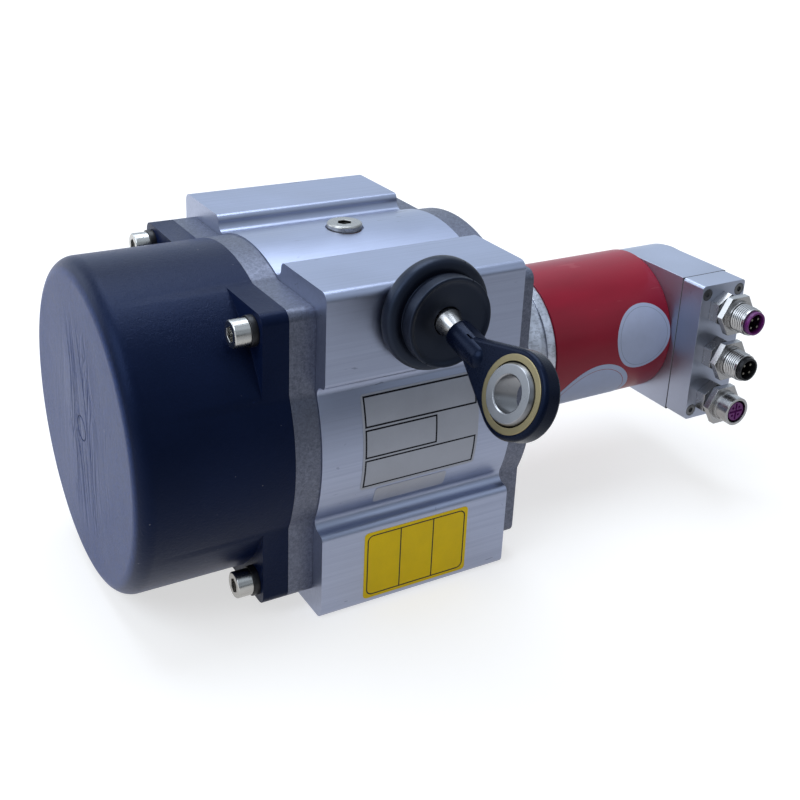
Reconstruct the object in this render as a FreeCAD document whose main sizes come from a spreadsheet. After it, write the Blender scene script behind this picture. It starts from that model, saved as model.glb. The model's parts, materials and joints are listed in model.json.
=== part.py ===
import FreeCAD, Part
import math
import os
import Sketcher
from FreeCAD import Placement, Rotation, Vector

# Draw wire encoder. The drum turns on the X axis, the wire leaves towards -Y and the
# mounting face is the underside at Z = 0. The origin is the middle of that face.

doc = FreeCAD.newDocument("draw_wire_encoder")
sheet = doc.addObject("Spreadsheet::Sheet", "Sizes")


class Size:
    """A length in millimetres together with the sheet formula that it comes from."""

    def __init__(self, value, formula):
        self.value = float(value)
        self.formula = formula

    def __float__(self):
        return self.value

    def __add__(self, other):
        return Size(self.value + float(other), f"({self.formula} + {formula(other)})")

    def __sub__(self, other):
        return Size(self.value - float(other), f"({self.formula} - {formula(other)})")

    def __rsub__(self, other):
        return Size(float(other) - self.value, f"({formula(other)} - {self.formula})")

    def __mul__(self, other):
        return Size(self.value * float(other), f"({self.formula} * {formula(other)})")

    def __truediv__(self, other):
        return Size(self.value / float(other), f"({self.formula} / {formula(other)})")

    def __neg__(self):
        return Size(-self.value, f"(-{self.formula})")


def formula(item):
    return item.formula if isinstance(item, Size) else str(item)


rows = []


def size(alias, value, meaning):
    """Enter one driving dimension in the sheet and return it."""
    row = len(rows) + 1
    rows.append(alias)
    sheet.set(f"A{row}", meaning)
    sheet.set(f"B{row}", str(value))
    sheet.setAlias(f"B{row}", alias)
    return Size(value, f"Sizes.{alias}")


# Extruded drum housing
housing_length = size("HousingLength", 81.5, "length of the extruded housing")
housing_side = size("HousingSide", 130, "side of the square envelope of the extrusion")
tube_radius = size("TubeRadius", 64, "outer radius of the round stretches")
chamber_radius = size("ChamberRadius", 56.5, "bore that the drum runs in")
block_start = size("BlockStart", 29.25, "distance of each corner block from the middle planes")
block_round = size("BlockRound", 2.5, "rounding of the inner edges of the corner blocks")
corner_round = size("CornerRound", 3.5, "rounding of the outer corners")
root_round = size("RootRound", 3.5, "hollow rounding between block and tube")
mount_spacing_x = size("MountSpacingX", 50, "mounting threads along the axis")
mount_spacing_y = size("MountSpacingY", 100, "mounting threads across the axis")
mount_thread = size("MountThread", 3.0, "radius of the mounting threads")
mount_depth = size("MountDepth", 12, "depth of the mounting threads")

# End flanges and their screws
flange_thickness = size("FlangeThickness", 10, "cast end flanges")
flange_radius = size("FlangeRadius", 63.4, "round part of flanges and cap")
screw_gap = size("ScrewGap", 7.31, "distance of the flange screws from the round part")
ear_margin = size("EarMargin", 7.5, "distance of the flange screws from the edges of the ears")
ear_round = size("EarRound", 4, "rounding of the ear corners")
spigot_length = size("SpigotLength", 3, "spigot that centres a flange in the chamber")
screw_radius = size("ScrewRadius", 3, "radius of the flange screws")
screw_head_radius = size("ScrewHeadRadius", 5, "head radius of the flange screws")
screw_head_height = size("ScrewHeadHeight", 6, "head height of the flange screws")
screw_socket = size("ScrewSocket", 5, "width across flats of the screw sockets")
screw_reach = size("ScrewReach", 12, "length of screw in the extrusion")
sleeve_radius = size("SleeveRadius", 5.6, "outer radius of the sleeves under the cap screws")
sleeve_height = size("SleeveHeight", 2.5, "height of the sleeves under the cap screws")
hole_play = size("HolePlay", 0.3, "radial play of a through hole")
thread_play = size("ThreadPlay", 0.05, "radial play between a thread and its hole")

# Spring cap
cap_length = size("CapLength", 56.9, "length of the moulded spring cap")
cap_ear = size("CapEar", 10, "thickness of the ears of the cap")
cap_wall = size("CapWall", 3.6, "side wall of the cap")
cap_end_wall = size("CapEndWall", 4, "end wall of the cap")
cap_round = size("CapRound", 6.6, "rounding of the end edge")
gate_radius = size("GateRadius", 5, "radius of the moulding gate mark")
gate_depth = size("GateDepth", 0.4, "depth of the moulding gate mark")

# Shaft, bearings and drum
shaft_radius = size("ShaftRadius", 6, "drum shaft")
bearing_radius = size("BearingRadius", 16, "outer radius of the drum bearings")
bearing_width = size("BearingWidth", 10, "width of the drum bearings")
bearing_shoulder = size("BearingShoulder", 13, "radius of the shoulders beside the bearings")
ball_radius = size("BallRadius", 2.9, "balls of the drum bearings")
running_play = size("RunningPlay", 0.05, "radial play of running fits")
pitch_radius = size("PitchRadius", 52.94, "radius of the wire's centre line on the drum")
wire_radius = size("WireRadius", 0.405, "radius of the measuring wire")
turns = size("Turns", 30.66, "turns of wire for the whole measuring range")
rim_height = size("RimHeight", 1.6, "height of the drum rims above the wire's centre line")
rim_width = size("RimWidth", 2, "width of each rim")
drum_wall = size("DrumWall", 4, "wall of the drum under the wire")
drum_web = size("DrumWeb", 3, "thickness of the drum's web")
drum_play = size("DrumPlay", 1.09, "axial play between drum and guide sleeve foot")
recess_depth = size("RecessDepth", 2.91, "recess of the encoder side flange that the drum's end moves into")
sleeve_outer = size("GuideRadius", 20, "outer radius of the threaded guide sleeve")
sleeve_wall = size("GuideWall", 5, "wall of the threaded guide sleeve")
foot_radius = size("GuideFootRadius", 30, "radius of the foot of the guide sleeve")
foot_thickness = size("GuideFoot", 4, "thickness of the foot of the guide sleeve")
nut_length = size("NutLength", 8, "length of the drum's threaded nut")
nut_radius = size("NutRadius", 30, "outer radius of the drum's threaded nut")
nut_lip = size("NutLip", 6, "how far the nut's lip reaches over the drum's web")
cup_wall = size("CupWall", 2.2, "wall of the dished drum end")
cup_play = size("CupPlay", 0.8, "radial play of the dished drum end round the guide sleeve")
boss_radius = size("BossRadius", 11, "radius of the sliding boss")
boss_length = size("BossLength", 7.5, "length of the sliding boss")
key_width = size("KeyWidth", 4, "width and height of the feather key")

# Power spring
arbor_radius = size("ArborRadius", 14, "outer radius of the spring arbor")
spring_play = size("SpringPlay", 0.5, "play between the power spring and the cap")
spring_width = size("SpringWidth", 32, "width of the spring strip")
strip_thickness = size("StripThickness", 0.8, "thickness of the spring strip")
cover_thickness = size("CoverThickness", 3, "plate that closes the spring chamber")
side_play = size("SidePlay", 1, "play beside turning parts")

# Coupling bell and encoder
bell_radius = size("BellRadius", 31.8, "outer radius of the coupling bell")
bell_length = size("BellLength", 29, "length of the coupling bell")
bell_bore = size("BellBore", 26, "bore of the bell round the coupling")
bell_screw_circle = size("BellScrewCircle", 40, "diameter of the bell's screw circle")
small_screw_radius = size("SmallScrewRadius", 2, "radius of the small screws")
shoulder_height = size("ShaftCollarHeight", 3, "height of the shoulders on the two shafts")
encoder_flange_length = size("EncoderFlangeLength", 7, "visible length of the encoder flange")
groove_width = size("GrooveWidth", 2.5, "clamping groove of the encoder flange")
groove_depth = size("GrooveDepth", 0.9, "depth of the clamping groove")
encoder_radius = size("EncoderRadius", 32.5, "outer radius of the encoder tube")
encoder_length = size("EncoderLength", 63.8, "length of the encoder tube")
encoder_wall = size("EncoderWall", 2.5, "wall of the encoder tube")
encoder_shaft_radius = size("EncoderShaftRadius", 5, "encoder shaft")
encoder_bearing_radius = size("EncoderBearingRadius", 9.5, "outer radius of the encoder bearings")
encoder_bearing_width = size("EncoderBearingWidth", 5, "width of the encoder bearings")
hub_radius = size("HubRadius", 12, "radius of the coupling hubs")
hub_length = size("HubLength", 6, "length of each coupling hub")
code_disc_radius = size("CodeDiscRadius", 22, "radius of the code disc")
board_radius = size("BoardRadius", 28.5, "radius of the circuit board")
board_thickness = size("BoardThickness", 1.6, "thickness of the circuit board")

# Hood and connector plate
hood_length = size("HoodLength", 24.8, "length of the encoder hood")
hood_step = size("HoodStep", 0.5, "how far the hood's flat sides lie inside the encoder tube")
hood_back = size("HoodBack", 2.6, "how far the round back stands out")
back_step = size("HoodBackStep", 0.5, "step from the hood in to its round back")
back_chamfer = size("HoodBackChamfer", 1, "chamfer of the round back")
hood_wall = size("HoodWall", 3.2, "wall of the hood")
hood_front = size("HoodFront", 3.2, "how far the plate joint stands out beyond the round back's radius")
gasket_thickness = size("GasketThickness", 0.5, "gasket under the connector plate")
plate_thickness = size("PlateThickness", 12.8, "connector plate with its gasket")
plate_screw_side = size("PlateScrewSide", 3.1, "plate screws from the long edges of the plate")
plate_screw_end = size("PlateScrewEnd", 4.2, "plate screws from the short edges of the plate")
plate_screw_radius = size("PlateScrewRadius", 1.5, "plate screws")
plate_head_radius = size("PlateHeadRadius", 2.7, "heads of the plate screws")
plate_head_height = size("PlateHeadHeight", 2, "heads of the plate screws")

# Connectors
connector_margin = size("ConnectorMargin", 10.55, "outer connectors from the plate's short edges")
connector_shift = size("ConnectorShift", 1.1, "middle connector below the axis")
connector_radius = size("ConnectorRadius", 6, "thread radius of the connectors")
connector_core = size("ConnectorCore", 5.2, "radius of the connector inserts")
connector_cavity = size("ConnectorCavity", 4.3, "radius of the plug cavity")
male_length = size("MaleLength", 20.8, "male connector from the plate")
female_length = size("FemaleLength", 18.1, "female connector from the plate")
female_radius = size("FemaleRadius", 6.5, "sleeve radius of the female connector")
insert_lip = size("InsertLip", 2, "how far the male insert stands out of its shell")
cavity_depth = size("CavityDepth", 7, "depth of the plug cavity")
female_step = size("FemaleStep", 0.5, "how far the female insert lies inside its sleeve")
base_flats = size("BaseFlats", 14, "width across flats of the connector base")
base_height = size("BaseHeight", 5, "height of the connector base")
nut_flats = size("NutFlats", 17, "width across flats of the connector nuts")
nut_height = size("NutHeight", 3, "height of the connector nuts")
seal_height = size("SealHeight", 2.4, "height of the connector seals")
seal_radius = size("SealRadius", 7.2, "outer radius of the connector seals")
connector_collar = size("ConnectorCollar", 1.5, "length of the collar in front of the nut")
connector_collar_radius = size("ConnectorCollarRadius", 6.9, "radius of the collar in front of the nut")
pin_radius = size("PinRadius", 0.5, "contact pins")
pin_circle = size("PinCircle", 2.5, "radius of the circle of contacts")

# Plug screw in the top
plug_radius = size("PlugRadius", 5, "thread radius of the plug screw")
plug_head_radius = size("PlugHeadRadius", 7, "head radius of the plug screw")
plug_head_height = size("PlugHeadHeight", 2.6, "head height of the plug screw")
plug_seat = size("PlugSeat", 63.0, "height of the plug's seat above the axis")
plug_seal_height = size("PlugSealHeight", 0.5, "sealing ring of the plug")

# Wire outlet
outlet_radius = size("OutletRadius", 8, "bore for the outlet bush")
outlet_depth = size("OutletDepth", 32, "depth of the bore for the outlet bush")
outlet_passage = size("OutletPassage", 3, "bore from the bush to the drum")
collar_radius = size("CollarRadius", 10, "collar of the outlet bush")
collar_height = size("CollarHeight", 2, "collar of the outlet bush")
nose_radius = size("NoseRadius", 6, "nose that carries the rubber buffer")
nose_length = size("NoseLength", 5, "nose that carries the rubber buffer")
wire_play = size("WirePlay", 0.1, "radial play of the wire in its guide")
wire_start = size("WireStart", 10.8, "start of the straight wire, from the drum's middle plane")
buffer_radius = size("BufferRadius", 21, "rear disc of the rubber buffer")
buffer_rear = size("BufferRear", 7.5, "thickness of the rear disc")
buffer_front_radius = size("BufferFrontRadius", 16.6, "front disc of the rubber buffer")
buffer_front = size("BufferFront", 6.5, "thickness of the front disc")
buffer_round = size("BufferRound", 3, "rounding of the rear disc")
rim_lip = size("BufferLip", 1.4, "width of the raised rim of the front disc")
dish_depth = size("DishDepth", 0.9, "depth of the dish inside the raised rim")

# Wire end with its rod end
pivot_depth = size("PivotDepth", 2.5, "how deep the ferrule seat lies behind the buffer's front")
ferrule_radius = size("FerruleRadius", 4.9, "ball shaped back of the ferrule")
ferrule_tip = size("FerruleTip", 3.4, "front radius of the ferrule")
ferrule_length = size("FerruleLength", 7, "length of the ferrule's cone")
stud_radius = size("StudRadius", 2.5, "threaded stud of the ferrule")
seat_play = size("SeatPlay", 0.35, "play between ferrule and buffer")
eye_reach = size("EyeReach", 44.5, "distance from the ferrule seat to the eye")
eye_radius = size("EyeRadius", 15, "outer radius of the eye")
eye_width = size("EyeWidth", 7.4, "width of the eye")
eye_round = size("EyeRound", 1.6, "rounding of the eye's edges")
neck_radius = size("NeckRadius", 5.3, "neck of the rod end at the eye")
nose_reach = size("NoseReach", 28, "rounded nose of the neck, from the ferrule seat")
web_start = size("WebStart", 18, "start of the flat plate of the rod end, from the ferrule seat")
race_radius = size("RaceRadius", 13, "outer radius of the brass race")
race_width = size("RaceWidth", 8, "width of the brass race")
joint_ball_radius = size("JointBallRadius", 11, "radius of the joint ball")
joint_ball_width = size("JointBallWidth", 11, "width of the joint ball")
joint_bore = size("JointBore", 6, "bore radius of the joint ball")
bore_chamfer = size("BoreChamfer", 1, "chamfer of the joint ball's bore")
slit_start = size("SlitStart", 15, "start of the slit in the neck, from the ferrule seat")
slit_length = size("SlitLength", 2.9, "length of the slit in the neck")
slit_width = size("SlitWidth", 0.6, "width of the slit in the neck")
slit_depth = size("SlitDepth", 0.9, "depth of the slit in the neck")

# Counts, and the angles in degrees that the wire end hangs and is swivelled by, and that the slit lies at
spring_turns = 16
drum_bearing_balls = 7
droop_angle = 12.0
swivel_angle = -20.5
slit_angle = 46.0

doc.recompute()

axis_height = housing_side / 2
half_side = housing_side / 2
left_face = -housing_length / 2
right_face = housing_length / 2
left_flange = left_face - flange_thickness
screw_spacing = (flange_radius + screw_gap) * math.sqrt(2)
flange_side = screw_spacing + ear_margin * 2
pivot_reach = half_side + buffer_rear + buffer_front - pivot_depth
hood_half = encoder_radius - hood_step
hood_reach = hood_half + hood_front
connector_pitch = hood_half - connector_margin
right_flange = right_face + flange_thickness

nodes = []


def bind(item, path, value):
    """Set one property of an object by a formula of the sheet."""
    item.setExpression(path, formula(value))


def put(item, x=0, y=0, z=0, rotation=None):
    """Place an object at a point given in sizes."""
    if rotation is not None:
        item.Placement = Placement(Vector(0, 0, 0), rotation)
    for path, value in (("x", x), ("y", y), ("z", z)):
        bind(item, f"Placement.Base.{path}", value)
    return item


def node(item, label):
    """Name an object as one of the pieces of the assembly."""
    item.Label = label
    nodes.append(item)
    return item


def origin_item(body, role):
    return next(item for item in body.Origin.OriginFeatures if item.Role == role)


def sketch(body, role, offset=0):
    """Start a sketch on one of the body's own origin planes."""
    item = body.newObject("Sketcher::SketchObject", f"{body.Name}Sketch")
    item.AttachmentSupport = [(origin_item(body, role), "")]
    item.MapMode = "FlatFace"
    bind(item, "AttachmentOffset.Base.z", offset)
    return item


def tie(item, geometry, end, across, up):
    """Tie a sketch point to its two sizes, or to an axis where a size is nought."""
    for kind, axis, value in (("DistanceX", -2, across), ("DistanceY", -1, up)):
        if isinstance(value, Size) or value:
            number = item.addConstraint(Sketcher.Constraint(kind, -1, 1, geometry, end, float(value)))
            bind(item, f"Constraints[{number}]", value)
        else:
            item.addConstraint(Sketcher.Constraint("PointOnObject", geometry, end, axis))


def polygon(item, corners):
    """Draw a closed outline through corners given in sizes."""
    first = item.GeometryCount
    count = len(corners)
    points = [Vector(float(across), float(up), 0) for across, up in corners]
    for index in range(count):
        item.addGeometry(Part.LineSegment(points[index], points[(index + 1) % count]))
    for index in range(count):
        following = first + (index + 1) % count
        item.addConstraint(Sketcher.Constraint("Coincident", first + index, 2, following, 1))
        tie(item, first + index, 1, *corners[index])


def circle(item, across, up, radius):
    """Draw a circle whose centre and radius are sizes."""
    centre = Vector(float(across), float(up), 0)
    number = item.addGeometry(Part.Circle(centre, Vector(0, 0, 1), float(radius)))
    limit = item.addConstraint(Sketcher.Constraint("Radius", number, float(radius)))
    bind(item, f"Constraints[{limit}]", radius)
    tie(item, number, 3, across, up)


def spiral(item, start, shift, half_turns, thickness):
    """Draw a flat spiral of half circles whose centres alternate between two points of the across axis."""
    arcs = []
    limits = []
    driven = []
    for inner_radius in (start, start + thickness):
        for turn_number in range(half_turns):
            radius = inner_radius + shift * turn_number
            odd = turn_number % 2
            centre = Vector(float(shift) * odd, 0, 0)
            whole = Part.Circle(centre, Vector(0, 0, 1), float(radius))
            number = len(arcs)
            arcs.append(Part.ArcOfCircle(whole, math.pi * odd, math.pi * (odd + 1)))
            driven.append((len(limits), radius))
            limits.append(Sketcher.Constraint("Radius", number, float(radius)))
            if odd:
                driven.append((len(limits), shift))
                limits.append(Sketcher.Constraint("DistanceX", -1, 1, number, 3, float(shift)))
            else:
                limits.append(Sketcher.Constraint("PointOnObject", number, 3, -2))
            for point in (3, 1, 2):
                limits.append(Sketcher.Constraint("PointOnObject", number, point, -1))
    last = half_turns - 1
    for number, point in ((0, 1), (last, 2)):
        outer = number + half_turns
        ends = [arcs[arc].StartPoint if point == 1 else arcs[arc].EndPoint for arc in (number, outer)]
        limits.append(Sketcher.Constraint("Coincident", len(arcs), 1, number, point))
        limits.append(Sketcher.Constraint("Coincident", len(arcs), 2, outer, point))
        arcs.append(Part.LineSegment(*ends))
    item.addGeometry(arcs)
    item.addConstraint(limits)
    for number, value in driven:
        bind(item, f"Constraints[{number}]", value)


def body_at_axis(name):
    """Make a body whose own X axis is the drum axis."""
    body = doc.addObject("PartDesign::Body", name)
    return put(body, z=axis_height)


def turn(body, corners):
    """Turn an outline of axial and radial sizes round the body's X axis."""
    item = sketch(body, "XY_Plane")
    polygon(item, corners)
    feature = body.newObject("PartDesign::Revolution", f"{body.Name}Turned")
    feature.Profile = item
    feature.ReferenceAxis = (item, ["H_Axis"])
    feature.Angle = 360
    doc.recompute()
    return feature


def turned(name, corners):
    body = body_at_axis(name)
    turn(body, corners)
    return body


def ring_outline(start, end, inner, outer):
    return [(start, inner), (end, inner), (end, outer), (start, outer)]


def pad(body, item, length):
    """Raise a sketch along its own normal."""
    feature = body.newObject("PartDesign::Pad", f"{body.Name}Pad")
    feature.Profile = item
    bind(feature, "Length", length)
    doc.recompute()
    return feature


def pocket(body, item, length, backwards=False):
    """Cut a sketch against its own normal, or along it when backwards is set."""
    before = body.Shape.Volume
    feature = body.newObject("PartDesign::Pocket", f"{body.Name}Pocket")
    feature.Profile = item
    feature.Reversed = backwards
    bind(feature, "Length", length)
    doc.recompute()
    if feature.Shape.Volume >= before:
        raise RuntimeError(f"{body.Name}: a pocket cuts nothing")
    return feature


def pattern(body, features, count=4):
    """Repeat features round the body's X axis."""
    feature = body.newObject("PartDesign::PolarPattern", f"{body.Name}Pattern")
    feature.Originals = features
    feature.Axis = (origin_item(body, "X_Axis"), [""])
    feature.Angle = 360
    feature.Occurrences = count
    body.Tip = feature
    doc.recompute()
    return feature


def round_edges(body, radius, chosen, kind="Fillet", path="Radius"):
    """Round or chamfer the edges of the body's tip that a test chooses."""
    tip = body.Tip
    names = [f"Edge{number}" for number, edge in enumerate(tip.Shape.Edges, 1) if chosen(edge)]
    if not names:
        raise RuntimeError(f"{body.Name}: no edge to round")
    feature = body.newObject(f"PartDesign::{kind}", f"{body.Name}{kind}")
    feature.Base = (tip, names)
    bind(feature, path, radius)
    doc.recompute()
    return feature


def near(first, second, slack=0.05):
    return abs(float(first) - float(second)) < slack


def round_edge_at(x, radius):
    """Test for a full circle about the X axis at one place."""
    def chosen(edge):
        curve = edge.Curve
        return isinstance(curve, Part.Circle) and near(curve.Radius, radius) and near(edge.BoundBox.Center.x, x)
    return chosen


def cylinder(name, radius, height):
    item = doc.addObject("Part::Cylinder", name)
    bind(item, "Radius", radius)
    bind(item, "Height", height)
    return item


def ball(name, radius):
    item = doc.addObject("Part::Sphere", name)
    bind(item, "Radius", radius)
    return item


def cut(name, base, tool):
    item = doc.addObject("Part::Cut", name)
    item.Base = base
    item.Tool = tool
    return item


def hexagon(name, flats, height):
    """Make a hexagonal bar along Z from its width across flats."""
    item = doc.addObject("Part::Prism", name)
    item.Polygon = 6
    bind(item, "Circumradius", flats / math.sqrt(3))
    bind(item, "Height", height)
    return item


def copies(name, source, spots, rotation):
    """Set copies of one piece at several places and gather them in one object."""
    links = []
    for number, spot in enumerate(spots, 1):
        link = doc.addObject("App::Link", f"{name}Copy{number}")
        link.LinkedObject = source
        links.append(put(link, *spot, rotation))
    group = doc.addObject("Part::Compound", name)
    group.Links = links
    return group


along_x = Rotation(Vector(0, 0, 1), 0)
against_x = Rotation(Vector(0, 0, 1), 180)
x_to_outlet = Rotation(Vector(0, 0, 1), -90)
z_to_x = Rotation(Vector(0, 1, 0), 90)
z_to_outlet = Rotation(Vector(1, 0, 0), 90)


def square_spots(x, spacing):
    """Four places in a square about the drum axis."""
    half = spacing / 2
    pairs = [(-half, -half), (half, -half), (half, half), (-half, half)]
    return [(x, across, axis_height + up) for across, up in pairs]


def socket_screw(name, radius, length, head_radius, head_height, flats):
    """Make a screw along +X, its head before the origin, with a hexagon socket."""
    blank = doc.addObject("PartDesign::Body", f"{name}Blank")
    turn(blank, [(-head_height, 0), (length, 0), (length, radius), (0, radius),
                 (0, head_radius), (-head_height, head_radius)])
    round_edges(blank, head_radius * 0.08, round_edge_at(-head_height, head_radius), "Chamfer", "Size")
    socket = hexagon(f"{name}Socket", flats, head_height * 0.5)
    put(socket, x=-head_height, rotation=z_to_x)
    return cut(name, blank, socket)


def flange_blank(body, start, thickness):
    """Raise the outline that flanges and cap share: a round plate with four ears."""
    half = flange_side / 2
    ears = sketch(body, "YZ_Plane", start)
    polygon(ears, [(-half, -half), (half, -half), (half, half), (-half, half)])
    pad(body, ears, thickness)
    corner = float(half)
    round_edges(body, ear_round, lambda edge: near(abs(edge.BoundBox.Center.y), corner)
                and near(abs(edge.BoundBox.Center.z), corner))
    plate = sketch(body, "YZ_Plane", start)
    circle(plate, 0, 0, flange_radius)
    pad(body, plate, thickness)


def corner_holes(body, start, radius, depth, backwards=False):
    """Bore one hole of the square screw pattern and repeat it."""
    item = sketch(body, "YZ_Plane", start)
    circle(item, screw_spacing / 2, screw_spacing / 2, radius)
    return pattern(body, [pocket(body, item, depth, backwards)])


def make_drum_housing():
    """Extrusion: a thick tube with four corner blocks that fill out a square."""
    body = body_at_axis("DrumHousing")
    tube = sketch(body, "YZ_Plane", left_face)
    circle(tube, 0, 0, tube_radius)
    pad(body, tube, housing_length)
    block = sketch(body, "YZ_Plane", left_face)
    polygon(block, [(block_start, block_start), (half_side, block_start),
                    (half_side, half_side), (block_start, half_side)])
    pattern(body, [pad(body, block, housing_length)])

    def lengthwise(edge, near_y, near_z, slack=0.05):
        box = edge.BoundBox
        return near(box.XLength, housing_length) and near(abs(box.Center.y), near_y, slack) \
            and near(abs(box.Center.z), near_z, slack)

    step = math.sqrt(float(tube_radius) ** 2 - float(block_start) ** 2)
    round_edges(body, corner_round, lambda edge: lengthwise(edge, half_side, half_side))
    round_edges(body, block_round, lambda edge: lengthwise(edge, half_side, block_start)
                or lengthwise(edge, block_start, half_side))
    round_edges(body, root_round, lambda edge: lengthwise(edge, step, block_start, 0.5)
                or lengthwise(edge, block_start, step, 0.5))
    chamber = sketch(body, "YZ_Plane", left_face)
    circle(chamber, 0, 0, chamber_radius)
    pocket(body, chamber, housing_length, True)
    thread = screw_radius + thread_play
    corner_holes(body, left_face, thread, screw_reach, True)
    corner_holes(body, right_face, thread, screw_reach)
    outlet = sketch(body, "XZ_Plane", half_side)
    circle(outlet, 0, pitch_radius, outlet_radius)
    pocket(body, outlet, outlet_depth)
    recess = sketch(body, "XZ_Plane", half_side)
    circle(recess, 0, pitch_radius, collar_radius)
    pocket(body, recess, collar_height)
    passage = sketch(body, "XZ_Plane", half_side)
    circle(passage, 0, pitch_radius, outlet_passage)
    pocket(body, passage, half_side - block_start * 0.5)
    plug_hole = sketch(body, "XY_Plane", half_side)
    circle(plug_hole, 0, 0, plug_radius + thread_play)
    pocket(body, plug_hole, half_side - chamber_radius + side_play)
    spot_face = sketch(body, "XY_Plane", half_side)
    circle(spot_face, 0, 0, plug_head_radius + hole_play * 2)
    pocket(body, spot_face, half_side - plug_seat)
    mounting = sketch(body, "XY_Plane", -half_side)
    for side_x in (-1, 1):
        for side_y in (-1, 1):
            circle(mounting, mount_spacing_x / 2 * side_x, mount_spacing_y / 2 * side_y, mount_thread)
    pocket(body, mounting, mount_depth, True)
    node(body, "drum_housing")


def make_flanges():
    """Cast end flanges with bearing seat, passage and spigot."""
    body = body_at_axis("SpringSideFlange")
    flange_blank(body, left_flange, flange_thickness)
    spigot = sketch(body, "YZ_Plane", left_face)
    circle(spigot, 0, 0, chamber_radius)
    pad(body, spigot, spigot_length)
    shoulder = sketch(body, "YZ_Plane", left_flange)
    circle(shoulder, 0, 0, bearing_shoulder)
    pocket(body, shoulder, flange_thickness + spigot_length, True)
    seat = sketch(body, "YZ_Plane", left_flange)
    circle(seat, 0, 0, bearing_radius)
    pocket(body, seat, bearing_width, True)
    corner_holes(body, left_flange, screw_radius + hole_play, flange_thickness, True)
    node(body, "spring_side_flange")

    body = body_at_axis("EncoderSideFlange")
    flange_blank(body, right_face, flange_thickness)
    spigot = sketch(body, "YZ_Plane", right_face - spigot_length)
    circle(spigot, 0, 0, chamber_radius)
    pad(body, spigot, spigot_length)
    passage = sketch(body, "YZ_Plane", right_flange)
    circle(passage, 0, 0, bearing_shoulder)
    pocket(body, passage, flange_thickness + spigot_length)
    recess = sketch(body, "YZ_Plane", right_face - spigot_length)
    circle(recess, 0, 0, cup_radius + side_play)
    pocket(body, recess, recess_depth, True)
    corner_holes(body, right_flange, screw_radius + hole_play, flange_thickness)
    corner_holes(body, right_flange, screw_head_radius + hole_play, screw_head_height + hole_play)
    holes = sketch(body, "YZ_Plane", right_flange)
    circle(holes, bell_screw_circle / 2, 0, small_screw_radius + hole_play)
    pattern(body, [pocket(body, holes, flange_thickness)])
    sinks = sketch(body, "YZ_Plane", right_face - spigot_length + recess_depth)
    circle(sinks, bell_screw_circle / 2, 0, small_head_radius + hole_play)
    pattern(body, [pocket(body, sinks, small_head_height + hole_play, True)])
    node(body, "encoder_side_flange")


def make_cap():
    """Moulded spring cap: a deep cup with four ears and a gate mark on its end."""
    end = left_flange - cap_length
    body = body_at_axis("SpringCap")
    flange_blank(body, left_flange - cap_ear, cap_ear)
    cup = sketch(body, "YZ_Plane", end)
    circle(cup, 0, 0, flange_radius)
    pad(body, cup, cap_length)
    round_edges(body, cap_round, round_edge_at(end, flange_radius))
    hollow = sketch(body, "YZ_Plane", left_flange)
    circle(hollow, 0, 0, flange_radius - cap_wall)
    pocket(body, hollow, cap_length - cap_end_wall)
    corner_holes(body, left_flange, screw_radius + hole_play, cap_ear)
    gate = sketch(body, "YZ_Plane", end)
    circle(gate, 0, 0, gate_radius)
    circle(gate, 0, 0, gate_radius - gate_depth)
    pocket(body, gate, gate_depth, True)
    node(body, "spring_cap")


def make_screws():
    """Cap screws on their sleeves, and the sunk screws of the encoder side flange."""
    cap_grip = sleeve_height + cap_ear + flange_thickness
    long_screw = socket_screw("LongScrew", screw_radius, cap_grip + screw_reach - side_play,
                              screw_head_radius, screw_head_height, screw_socket)
    cap_face = left_flange - cap_ear
    node(copies("CapScrews", long_screw, square_spots(cap_face - sleeve_height, screw_spacing), along_x),
         "cap_screws")
    sleeve = doc.addObject("PartDesign::Body", "CapScrewSleeve")
    turn(sleeve, ring_outline(-sleeve_height, 0, screw_radius + thread_play, sleeve_radius))
    node(copies("CapScrewSleeves", sleeve, square_spots(cap_face, screw_spacing), along_x),
         "cap_screw_sleeves")
    grip = flange_thickness - screw_head_height - hole_play
    short_screw = socket_screw("ShortScrew", screw_radius, grip + screw_reach - side_play,
                               screw_head_radius, screw_head_height, screw_socket)
    node(copies("FlangeScrews", short_screw, square_spots(right_face + grip, screw_spacing), against_x),
         "flange_screws")


# Places along the drum axis that several pieces share
sleeve_foot = left_face + spigot_length
drum_start = sleeve_foot + foot_thickness + drum_play
travel = (housing_length + recess_depth - spigot_length * 2 - foot_thickness - drum_play - nut_length
          - drum_web - side_play) / 2
lead = travel / turns
wound_length = travel
drum_length = rim_width * 2 + wound_length + lead
nut_end = drum_start + nut_length
guide_end = nut_end + travel - side_play
drum_end = drum_start + drum_length
cup_radius = sleeve_outer + cup_play + cup_wall
cup_start = guide_end + side_play
cup_end = cup_start + drum_web
boss_end = cup_end + boss_length
small_head_radius = small_screw_radius * 1.75
small_head_height = small_screw_radius * 2
bell_end = right_flange + bell_length
right_bearing = right_flange
encoder_start = bell_end + encoder_flange_length
encoder_end = encoder_start + encoder_length


def make_guide_sleeve():
    """Fixed threaded sleeve on the spring side flange that moves the turning drum along."""
    hollow = sleeve_outer - sleeve_wall
    body = turned("GuideSleeve", [(sleeve_foot, hollow), (guide_end, hollow), (guide_end, sleeve_outer),
                                  (sleeve_foot + foot_thickness, sleeve_outer),
                                  (sleeve_foot + foot_thickness, foot_radius), (sleeve_foot, foot_radius)])
    node(body, "guide_sleeve")


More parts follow.
